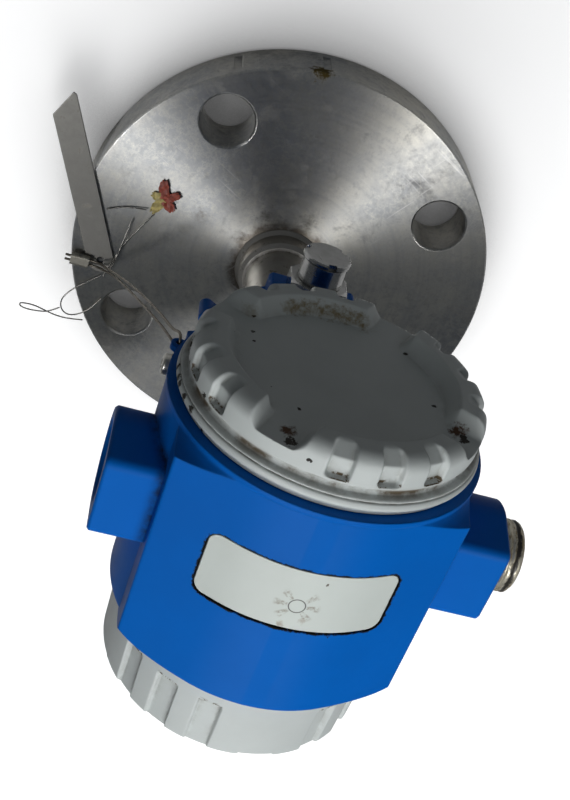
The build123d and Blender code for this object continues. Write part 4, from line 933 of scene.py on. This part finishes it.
black, rust, paste = (0.02, 0.016, 0.012), (0.085, 0.04, 0.018), (0.19, 0.14, 0.055)
cap_stains = [
    (-15.3, 23.9, 10.9, 0.9, 900.0, 0.12, black), (58.7, 22.3, 10.9, 0.9, 900.0, 0.12, black),
    (174.7, 25.0, 10.9, 1.3, 900.0, 0.12, black), (-134.0, 27.5, 10.9, 1.0, 900.0, 0.12, black),
    (176.9, 31.2, 13.0, 2.6, 700.0, 0.3, rust), (159.0, 32.0, 10.9, 4.4, 650.0, 0.3, rust),
    (156.0, 34.5, 10.9, 3.0, 900.0, 0.12, black), (63.5, 32.3, 10.9, 3.6, 500.0, 0.4, rust),
    (67.0, 36.0, 10.5, 3.2, 900.0, 0.12, black), (-39.0, 31.5, 10.9, 4.6, 420.0, 1.0, paste),
    (-128.3, 28.5, 13.5, 1.8, 700.0, 0.3, rust), (-112.0, 30.5, 13.0, 3.0, 500.0, 1.0, paste),
]
cap_stains += [(angle, 28.8, 12.6, 4.4, 600.0, 0.9, paste) for angle in range(-106, -58, 5)]
cap_stains += [(angle, 40.5, 2.9, 1.7, 1100.0, 0.12, black) for angle in (3, 9, 13, 20, 27)]
cap_stains += [(angle, 38.6, 7.0, 1.9, 1000.0, 0.12, black) for angle in (-4, 2, 8, 28)]
cap_places = [(on_cap(*stain[:3]), *stain[3:]) for stain in cap_stains]
housing_places = [
    ((-21.0, -0.6, 204.0), 2.6, 700.0, 0.12, black), ((-12.0, -0.4, 206.6), 1.5, 800.0, 0.12, black),
]
blue_paint = painted("blue_enamel", (0.0, 0.118, 0.50), 0.42, (0.018, 0.016, 0.012), 0.0035, 0.9, 0.0,
                     0.0008, housing_places, gap_grime=True, specular=0.07)
grey_paint = painted("grey_enamel", (0.56, 0.60, 0.59), 0.42, (0.09, 0.065, 0.035), 0.0035, 0.7, 0.04,
                     0.0004, cap_places, marks=True, specular=0.35)
print("stains on the front cover:", len(cap_places))

# %% [markdown]
# The data plate is bare here, apart from a thin ring pressed into it with smudges round it. The ring is a
# distance: a point is on the line where its distance from the centre lies within the line's half width.

# %% Data plate
ring_x, ring_y, ring_r = -0.6, -8.7, 2.1


def plate_material():
    """Satin grey sheet with a fine ring and smudges like petals on both sides of it."""
    material, tree, shader, where = new_material("plate_enamel")
    axes = add(tree, "SeparateXYZ", {0: where}).outputs
    dx = calc(tree, "SUBTRACT", axes[0], ring_x * MM)
    dy = calc(tree, "SUBTRACT", axes[1], ring_y * MM)
    reach = calc(tree, "SQRT", calc(tree, "ADD", scaled(tree, dx, dx), scaled(tree, dy, dy)))
    from_line = calc(tree, "ABSOLUTE", calc(tree, "SUBTRACT", reach, ring_r * MM))
    on_line = remap(tree, from_line, 0.22 * MM, 0.08 * MM)
    bearing = calc(tree, "ARCTAN2", dy, dx)
    petals = remap(tree, calc(tree, "COSINE", scaled(tree, bearing, 8.0)), -0.4, 0.5)
    sides = remap(tree, calc(tree, "ABSOLUTE", calc(tree, "COSINE", bearing)), 0.3, 0.6)
    outside_ring = remap(tree, reach, 2.2 * MM, 2.8 * MM)
    near_ring = scaled(tree, outside_ring, remap(tree, reach, 6.4 * MM, 4.6 * MM))
    smear = remap(tree, noise(tree, where, 700.0, 4.0, 0.7), 0.40, 0.60)
    smudge = scaled(tree, scaled(tree, near_ring, scaled(tree, petals, sides)), smear)
    clouds = noise(tree, where, 60.0, 4.0)
    clouded = remap(tree, clouds, 0.3, 0.75, 0.0, 0.5)
    base = blend_colour(tree, clouded, (0.60, 0.65, 0.62), (0.54, 0.585, 0.55))
    base = blend_colour(tree, scaled(tree, smudge, 0.8), base, (0.27, 0.25, 0.20))
    faint, dark = (0.40, 0.375, 0.32), (0.12, 0.11, 0.09)
    base, _ = stained(tree, where, base, [
        ((1.6, -1.9, 207.0), 2.2, 650.0, 0.5, faint), ((-3.2, -4.2, 207.0), 1.8, 650.0, 0.5, faint),
        ((-5.6, -17.0, 206.6), 0.7, 900.0, 0.12, dark),
    ])
    base = blend_colour(tree, scaled(tree, on_line, 0.9), base, (0.05, 0.05, 0.045))
    specks = place_group(tree, speck_group, {
        "Coordinates": where, "Scale": 160.0, "Size": 0.12, "Share": 0.06})["Mask"]
    base = blend_colour(tree, specks, base, (0.12, 0.09, 0.06))
    gloss = remap(tree, clouds, 0.2, 0.8, 0.3, 0.45)
    finish_with(tree, shader, {"Base Color": base, "Roughness": gloss},
                noise(tree, where, 1800.0, 2.0), 0.08, 0.0002, 0.0004)
    return material


plate_grey = plate_material()

# %% [markdown]
# A turned face has hundreds of fine rings. Each ring spreads light across itself and hardly along itself, so
# a lamp shows as a bright fan that points from the centre. That is anisotropy: the shader spreads light along
# its tangent, so the tangent runs across the marks. Clouds, stains and scratches break it up, and dark
# patches at the neck's foot are painted shade.

# %% Turned steel of the flange
def turned_steel():
    """Stainless steel turned about Z. Z crossed with the place runs round the axis, along the tool's marks.
    Light spreads across the marks, so the tangent is that direction crossed with the surface's normal."""
    material, tree, shader, where = new_material("turned_stainless")
    around = vector(tree, "CROSS_PRODUCT", (0, 0, 1), where)[0]
    across = vector(tree, "CROSS_PRODUCT", around, add(tree, "TexCoord").outputs["Normal"])[0]
    tangent = add(tree, "VectorTransform", {0: vector(tree, "NORMALIZE", across)[0]}, vector_type="VECTOR",
                  convert_from="OBJECT", convert_to="WORLD").outputs[0]
    axes = add(tree, "SeparateXYZ", {0: where}).outputs
    flat = add(tree, "CombineXYZ", {0: axes[0], 1: axes[1], 2: 0.0}).outputs[0]
    reach = vector(tree, "LENGTH", flat)["Value"]
    from_axis = add(tree, "CombineXYZ", {0: reach}).outputs[0]
    clouds = noise(tree, where, 26.0, 7.0, 0.62)
    stains = noise(tree, where, 75.0, 8.0, 0.7, 0.4)
    rings = noise(tree, from_axis, 900.0, 3.0)
    slow_rings = noise(tree, from_axis, 260.0, 4.0, 0.7)
    grit = noise(tree, where, 330.0, 9.0, 0.82)
    dark_stain = remap(tree, stains, 0.52, 0.66, 0.0, 0.55)
    tint_edge = calc(tree, "MULTIPLY_ADD", noise(tree, where, 200.0, 6.0, 0.75), 9.0 * MM, 12.0 * MM)
    heat = remap(tree, calc(tree, "SUBTRACT", reach, tint_edge), 4.5 * MM, 0.0)
    first, second = (
        place_group(tree, scratch_group, {
            "Coordinates": where, "Angle": angle, "Scale": scale, "Amount": 0.7})["Mask"]
        for angle, scale in ((0.5, 700.0), (2.2, 900.0)))
    scratch = calc(tree, "MAXIMUM", first, second)
    vein = calc(tree, "ABSOLUTE", calc(tree, "SUBTRACT", noise(tree, where, 130.0, 9.0, 0.75), 0.5))
    lace = scaled(tree, remap(tree, vein, 0.03, 0.0), remap(tree, clouds, 0.45, 0.60))
    base = blend_colour(tree, remap(tree, clouds, 0.35, 0.65), (0.68, 0.66, 0.60), (0.43, 0.44, 0.45))
    for share, colour in (
        (remap(tree, grit, 0.50, 0.60, 0.0, 0.4), (0.30, 0.30, 0.30)),
        (remap(tree, grit, 0.48, 0.38, 0.0, 0.4), (0.80, 0.78, 0.70)),
        (remap(tree, slow_rings, 0.45, 0.7, 0.0, 0.35), (0.36, 0.37, 0.38)),
        (dark_stain, (0.25, 0.25, 0.25)),
        (scaled(tree, heat, 0.8), (0.07, 0.045, 0.025)),
        (scratch, (0.75, 0.74, 0.72)),
        (scaled(tree, lace, 0.35), (0.82, 0.80, 0.70)),
    ):
        base = blend_colour(tree, share, base, colour)
    base, covered = stained(tree, where, base, [
        ((33.6, -12.1, 21.6), 7.0, 620.0, 1.2, (0.20, 0.18, 0.15)),
        # The next three dark patches, at the neck's foot on its -Y side, are painted shade as well as dirt:
        # they paint in the dark reflection of the housing above them.
        ((10.0, -19.0, 21.6), 8.0, 520.0, 1.0, (0.035, 0.028, 0.02)),
        ((-4.0, -21.5, 21.6), 7.0, 520.0, 1.0, (0.035, 0.028, 0.02)),
        ((18.5, -8.0, 21.6), 7.0, 520.0, 1.2, (0.05, 0.035, 0.02)),
        ((8.5, -75.3, 19.5), 7.0, 420.0, 0.3, (0.12, 0.09, 0.03)),
    ])
    rough = calc(tree, "MULTIPLY_ADD", clouds, 0.2, 0.22)
    for value, amount in ((dark_stain, 0.25), (calc(tree, "SUBTRACT", grit, 0.5), 0.35), (covered, 0.3)):
        rough = calc(tree, "MULTIPLY_ADD", value, amount, rough)
    rough = calc(tree, "MULTIPLY_ADD", rings, 0.08, rough, clamp=True)
    marks = calc(tree, "MULTIPLY_ADD", rings, 0.5, scaled(tree, stains, 0.5))
    finish_with(
        tree, shader,
        {"Base Color": base, "Metallic": 1.0, "Anisotropic": 0.82, "Roughness": rough, "Tangent": tangent},
        calc(tree, "SUBTRACT", marks, scaled(tree, scratch, 0.5)), 0.10, 0.0002, 0.0004)
    return material


flange_steel = turned_steel()


# %% [markdown]
# The other bare metals are one recipe: a base colour, clouds in the gloss, dirt and painted shade in the
# recesses and soft edges. Brass, aluminium, chrome and dull rope steel differ only in their values.

# %% Bare metals
def bare_metal(name, colour, roughness, dirt_shade_colour, dirt_shade_amount, cloud_scale):
    """A bare metal with clouds, stains, and soiling with painted shade in its recesses."""
    material, tree, shader, where = new_material(name)
    clouds = noise(tree, where, cloud_scale, 6.0, 0.65)
    clouded = remap(tree, clouds, 0.35, 0.7, 0.0, 0.5)
    base = blend_colour(tree, clouded, colour, tuple(c * 0.6 for c in colour))
    # Ambient Occlusion darkens the recesses: dirt, and painted shade where corners lie in shade.
    dirt_and_shade = place_group(tree, recess_dirt_shade_group, {
        "Coordinates": where, "Reach": 0.0015, "Amount": dirt_shade_amount, "Patch Scale": 500.0})["Mask"]
    blotch = remap(tree, noise(tree, where, cloud_scale * 2.7, 5.0, 0.7), 0.58, 0.7, 0.0, dirt_shade_amount)
    dirt_and_shade = calc(tree, "MAXIMUM", dirt_and_shade, blotch)
    rough = calc(tree, "MULTIPLY_ADD", clouds, 0.25, roughness - 0.12)
    finish_with(tree, shader, {
        "Base Color": blend_colour(tree, dirt_and_shade, base, dirt_shade_colour),
        "Metallic": calc(tree, "SUBTRACT", 1.0, scaled(tree, dirt_and_shade, 0.7)),
        "Roughness": calc(tree, "MULTIPLY_ADD", dirt_and_shade, 0.4, rough, clamp=True),
    }, noise(tree, where, 1400.0, 3.0), 0.12, 0.0002, 0.0003)
    return material


def worn_plug():
    """Plated brass with streaks of brown round it and a black ragged band near its outer end. The band is
    a distance along the plug's axis, moved about by a noise."""
    material, tree, shader, where = new_material("worn_nickel_brass")
    axes = add(tree, "SeparateXYZ", {0: where}).outputs
    from_end = calc(tree, "SUBTRACT", axes[0], plug_outer_x * MM)
    wander = noise(tree, where, 420.0, 5.0, 0.7)
    from_band = calc(tree, "ABSOLUTE", calc(tree, "SUBTRACT", from_end, 2.0 * MM))
    band = remap(tree, calc(tree, "MULTIPLY_ADD", wander, 2.6 * MM, from_band), 2.3 * MM, 1.7 * MM)
    round_it = vector(tree, "MULTIPLY", where, (4.0, 1.0, 1.0))[0]
    brown = remap(tree, noise(tree, round_it, 260.0, 6.0, 0.7), 0.46, 0.62)
    base = blend_colour(tree, scaled(tree, brown, 0.8), (0.66, 0.62, 0.50), (0.24, 0.17, 0.07))
    base = blend_colour(tree, band, base, (0.025, 0.022, 0.018))
    # Ambient Occlusion darkens the plug's recesses: dirt, and painted shade.
    dirt_and_shade = place_group(tree, recess_dirt_shade_group, {
        "Coordinates": where, "Reach": 0.0015, "Amount": 0.7, "Patch Scale": 500.0})["Mask"]
    finish_with(tree, shader, {
        "Base Color": blend_colour(tree, dirt_and_shade, base, (0.05, 0.04, 0.025)),
        "Metallic": calc(tree, "MULTIPLY_ADD", band, -0.5, 0.7),
        "Roughness": calc(tree, "MULTIPLY_ADD", brown, 0.2, 0.36),
    }, wander, 0.25, 0.0003, 0.0003)
    return material


def dull(name, colour, roughness, grain=900.0):
    """Rubber and moulded plastic: a colour with a fine grain."""
    material, tree, shader, where = new_material(name)
    clouds = noise(tree, where, 80.0, 4.0)
    finish_with(tree, shader, {
        "Base Color": blend_colour(tree, clouds, colour, tuple(c * 1.5 + 0.01 for c in colour)),
        "Roughness": remap(tree, clouds, 0.2, 0.8, roughness - 0.08, roughness + 0.08),
    }, noise(tree, where, grain, 3.0), 0.2, 0.0001)
    return material


materials = {
    # The neck's steel has a darker base colour than the flange's: painted shade, for the shadow and dark
    # reflections it stands in.
    "stainless_steel": bare_metal("neck_stainless_painted_shade", (0.34, 0.33, 0.31), 0.45, (0.05, 0.035, 0.02), 0.7, 90.0),
    "blue_paint": blue_paint,
    "grey_paint": grey_paint,
    "plate_grey": plate_grey,
    "polished_steel": bare_metal("polished_steel", (0.52, 0.52, 0.51), 0.2, (0.10, 0.09, 0.07), 0.35, 200.0),
    "screw_steel": bare_metal("zinc_steel", (0.55, 0.54, 0.50), 0.35, (0.08, 0.05, 0.02), 0.5, 300.0),
    "plug_brass": worn_plug(),
    "seal_rubber": dull("seal_rubber", (0.012, 0.012, 0.013), 0.6),
    "terminal_plastic": dull("terminal_moulding", (0.03, 0.05, 0.035), 0.45),
    "module_plastic": dull("module_moulding", (0.02, 0.022, 0.03), 0.5),
    "tag_steel": bare_metal("tag_steel", (0.38, 0.37, 0.345), 0.42, (0.10, 0.08, 0.05), 0.4, 110.0),
    "rope_steel": bare_metal("rope_steel", (0.20, 0.18, 0.15), 0.45, (0.03, 0.022, 0.015), 0.6, 600.0),
    "ferrule_aluminium": bare_metal(
        "ferrule_aluminium", (0.46, 0.44, 0.38), 0.45, (0.07, 0.055, 0.03), 0.6, 350.0),
    "wire_steel": bare_metal("wire_steel", (0.30, 0.29, 0.27), 0.4, (0.05, 0.04, 0.03), 0.3, 500.0),
    "seal_foil": dull("seal_foil_plain", (0.3, 0.18, 0.1), 0.5),
}
foil = {
    "yellow": dull("seal_foil_yellow", (0.40, 0.33, 0.12), 0.5, 500.0),
    "red": dull("seal_foil_red", (0.26, 0.055, 0.035), 0.5, 500.0),
}

# %% [markdown]
# The record names a material slot for every solid, so one dictionary of finishes dresses them all. The
# flange alone has a finish of its own, because its turned rings run round its axis. The solids keep their
# meshes, and only their shading is made smooth.

# %% Materials on the solids
slots = {part["node"]: part["material_slot"] for part in frame["record"]["subparts"]}
for node_name, node in frame["nodes"].items():
    material = flange_steel if node_name == "flange" else materials[slots[node_name]]
    node.data.materials.clear()
    node.data.materials.append(material)
    node.data.shade_smooth()
print("solids with a material:", len(frame["nodes"]))

# %% [markdown]
# Each new piece is given its finish, hides the solids it stands for, and rides on a body, so that it moves
# when that body moves.

# %% Riding on the bodies
replaced = {
    "front_cover_cap": ("front_cover", "front_cover", "grey_paint"),
    "rear_cover_cap": ("rear_cover", "rear_cover", "grey_paint"),
    "stopping_plug_threaded": ("stopping_plug", "stopping_plug", "plug_brass"),
    "rope_strand_a_laid": ("rope_strand_a", "housing", "rope_steel"),
    "rope_strand_b_laid": ("rope_strand_b", "housing", "rope_steel"),
    "seal_wire_drawn": ("seal_wire", "housing", "wire_steel"),
    "seal_tail_drawn": ("seal_tail", "housing", "wire_steel"),
    "stub_wire_drawn": ("stub_wire", "housing", "wire_steel"),
    "loop_wire_drawn": ("loop_wire", "housing", "wire_steel"),
    "hairpin_wire_drawn": ("hairpin_wire", "housing", "wire_steel"),
}
for piece_name, (node_name, body, slot) in replaced.items():
    piece = pieces[piece_name]
    piece.data.materials.append(materials[slot])
    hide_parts(node_name)
    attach(piece, body)
for colour, names in leaf_names.items():
    for piece_name in names:
        piece = pieces[piece_name]
        piece.data.materials.append(foil[colour])
        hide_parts("seal_leaves")
        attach(piece, "housing")

# %% [markdown]

# %% [markdown]
# ## Light and floor
# A large soft lamp stands high behind the object, so that the roof is bright and every face that looks
# forward stays dark. A weak one overhead lights the walls inside the covers' faces. Both light matt
# surfaces and are left out of reflections. Two smaller lamps are seen only in reflections: on the turned
# flange each gives one bright fan, at the bearing halfway between the lamp and the camera.

# %% Lamps
lamp_distance = 1.5
lamps = (
    ("rear_softbox", (-0.05, 0.50, 0.86), 1.2, 19.5, "matt"),
    ("top_softbox", (-0.16, -0.03, 0.98), 0.6, 3.8, "matt"),
    ("left_softbox", (0.50, 0.15, 0.85), 0.32, 9.0, "shine"),
    ("right_softbox", (-0.47, -0.02, 0.88), 0.32, 5.6, "shine"),
)


def soft_lamp(name, direction, size, power, lights):
    """A square lamp along a direction from the object's middle, facing it. lights says whether it serves
    matt surfaces or reflections."""
    data = bpy.data.lights.new(name, "AREA")
    data.shape = "SQUARE"
    data.size = size
    data.energy = power
    lamp = bpy.data.objects.new(name, data)
    away = Vector(direction).normalized()
    lamp.location = Vector((0, 0, 0.1)) + away * lamp_distance
    lamp.rotation_mode = "QUATERNION"
    lamp.rotation_quaternion = away.to_track_quat("Z", "Y")
    lamp.visible_glossy = lights == "shine"
    lamp.visible_diffuse = lights == "matt"
    scene.collection.objects.link(lamp)


for lamp_values in lamps:
    soft_lamp(*lamp_values)

# %% [markdown]
# The floor is pale to the camera and takes the object's soft shadow, but a metal that mirrors it sees a
# middle grey. Where the flange closes over it, Ambient Occlusion paints shade into the floor's colour and
# glow, near the flange and most of all in what shows through the bolt holes.

# %% Floor and world
floor_mesh = bpy.data.meshes.new("studio_floor")
floor_half = 3.0
floor_mesh.from_pydata(
    [(-floor_half, -floor_half, 0), (floor_half, -floor_half, 0), (floor_half, floor_half, 0),
     (-floor_half, floor_half, 0)], [], [(0, 1, 2, 3)])
floor = bpy.data.objects.new("studio_floor", floor_mesh)
scene.collection.objects.link(floor)
floor_material, tree, shader, _ = new_material("pale_floor")
ray = add(tree, "LightPath").outputs
to_metal = blend_colour(tree, ray["Is Glossy Ray"], (0.10, 0.10, 0.10), (0.50, 0.50, 0.50))
# Painted shade: Ambient Occlusion darkens the floor's colour and glow for the camera where the flange is
# close.
openness = add(tree, "AmbientOcclusion", {"Distance": 0.04}, samples=8).outputs["AO"]
openness = remap(tree, openness, 0.1, 0.9, 0.12, 1.0, smooth=False)
to_camera = blend_colour(tree, openness, (0.0, 0.0, 0.0), (0.85, 0.85, 0.85))
connect(tree, shader, {
    "Base Color": blend_colour(tree, ray["Is Camera Ray"], to_metal, to_camera),
    "Emission Color": (1, 1, 1, 1),
    "Emission Strength": scaled(tree, scaled(tree, ray["Is Camera Ray"], 0.4), openness),
    "Roughness": 0.9,
    "Specular IOR Level": 0.1,
})
floor_mesh.materials.append(floor_material)

world = bpy.data.worlds.new("studio_world")
scene.world = world
world.use_nodes = True
world_tree = world.node_tree
ray = add(world_tree, "LightPath").outputs
sky = blend_colour(world_tree, ray["Is Camera Ray"], (0.075, 0.08, 0.085), (0.95, 0.95, 0.95))
world_tree.links.new(sky, world_tree.nodes["Background"].inputs[0])
scene.view_settings.view_transform = "Standard"
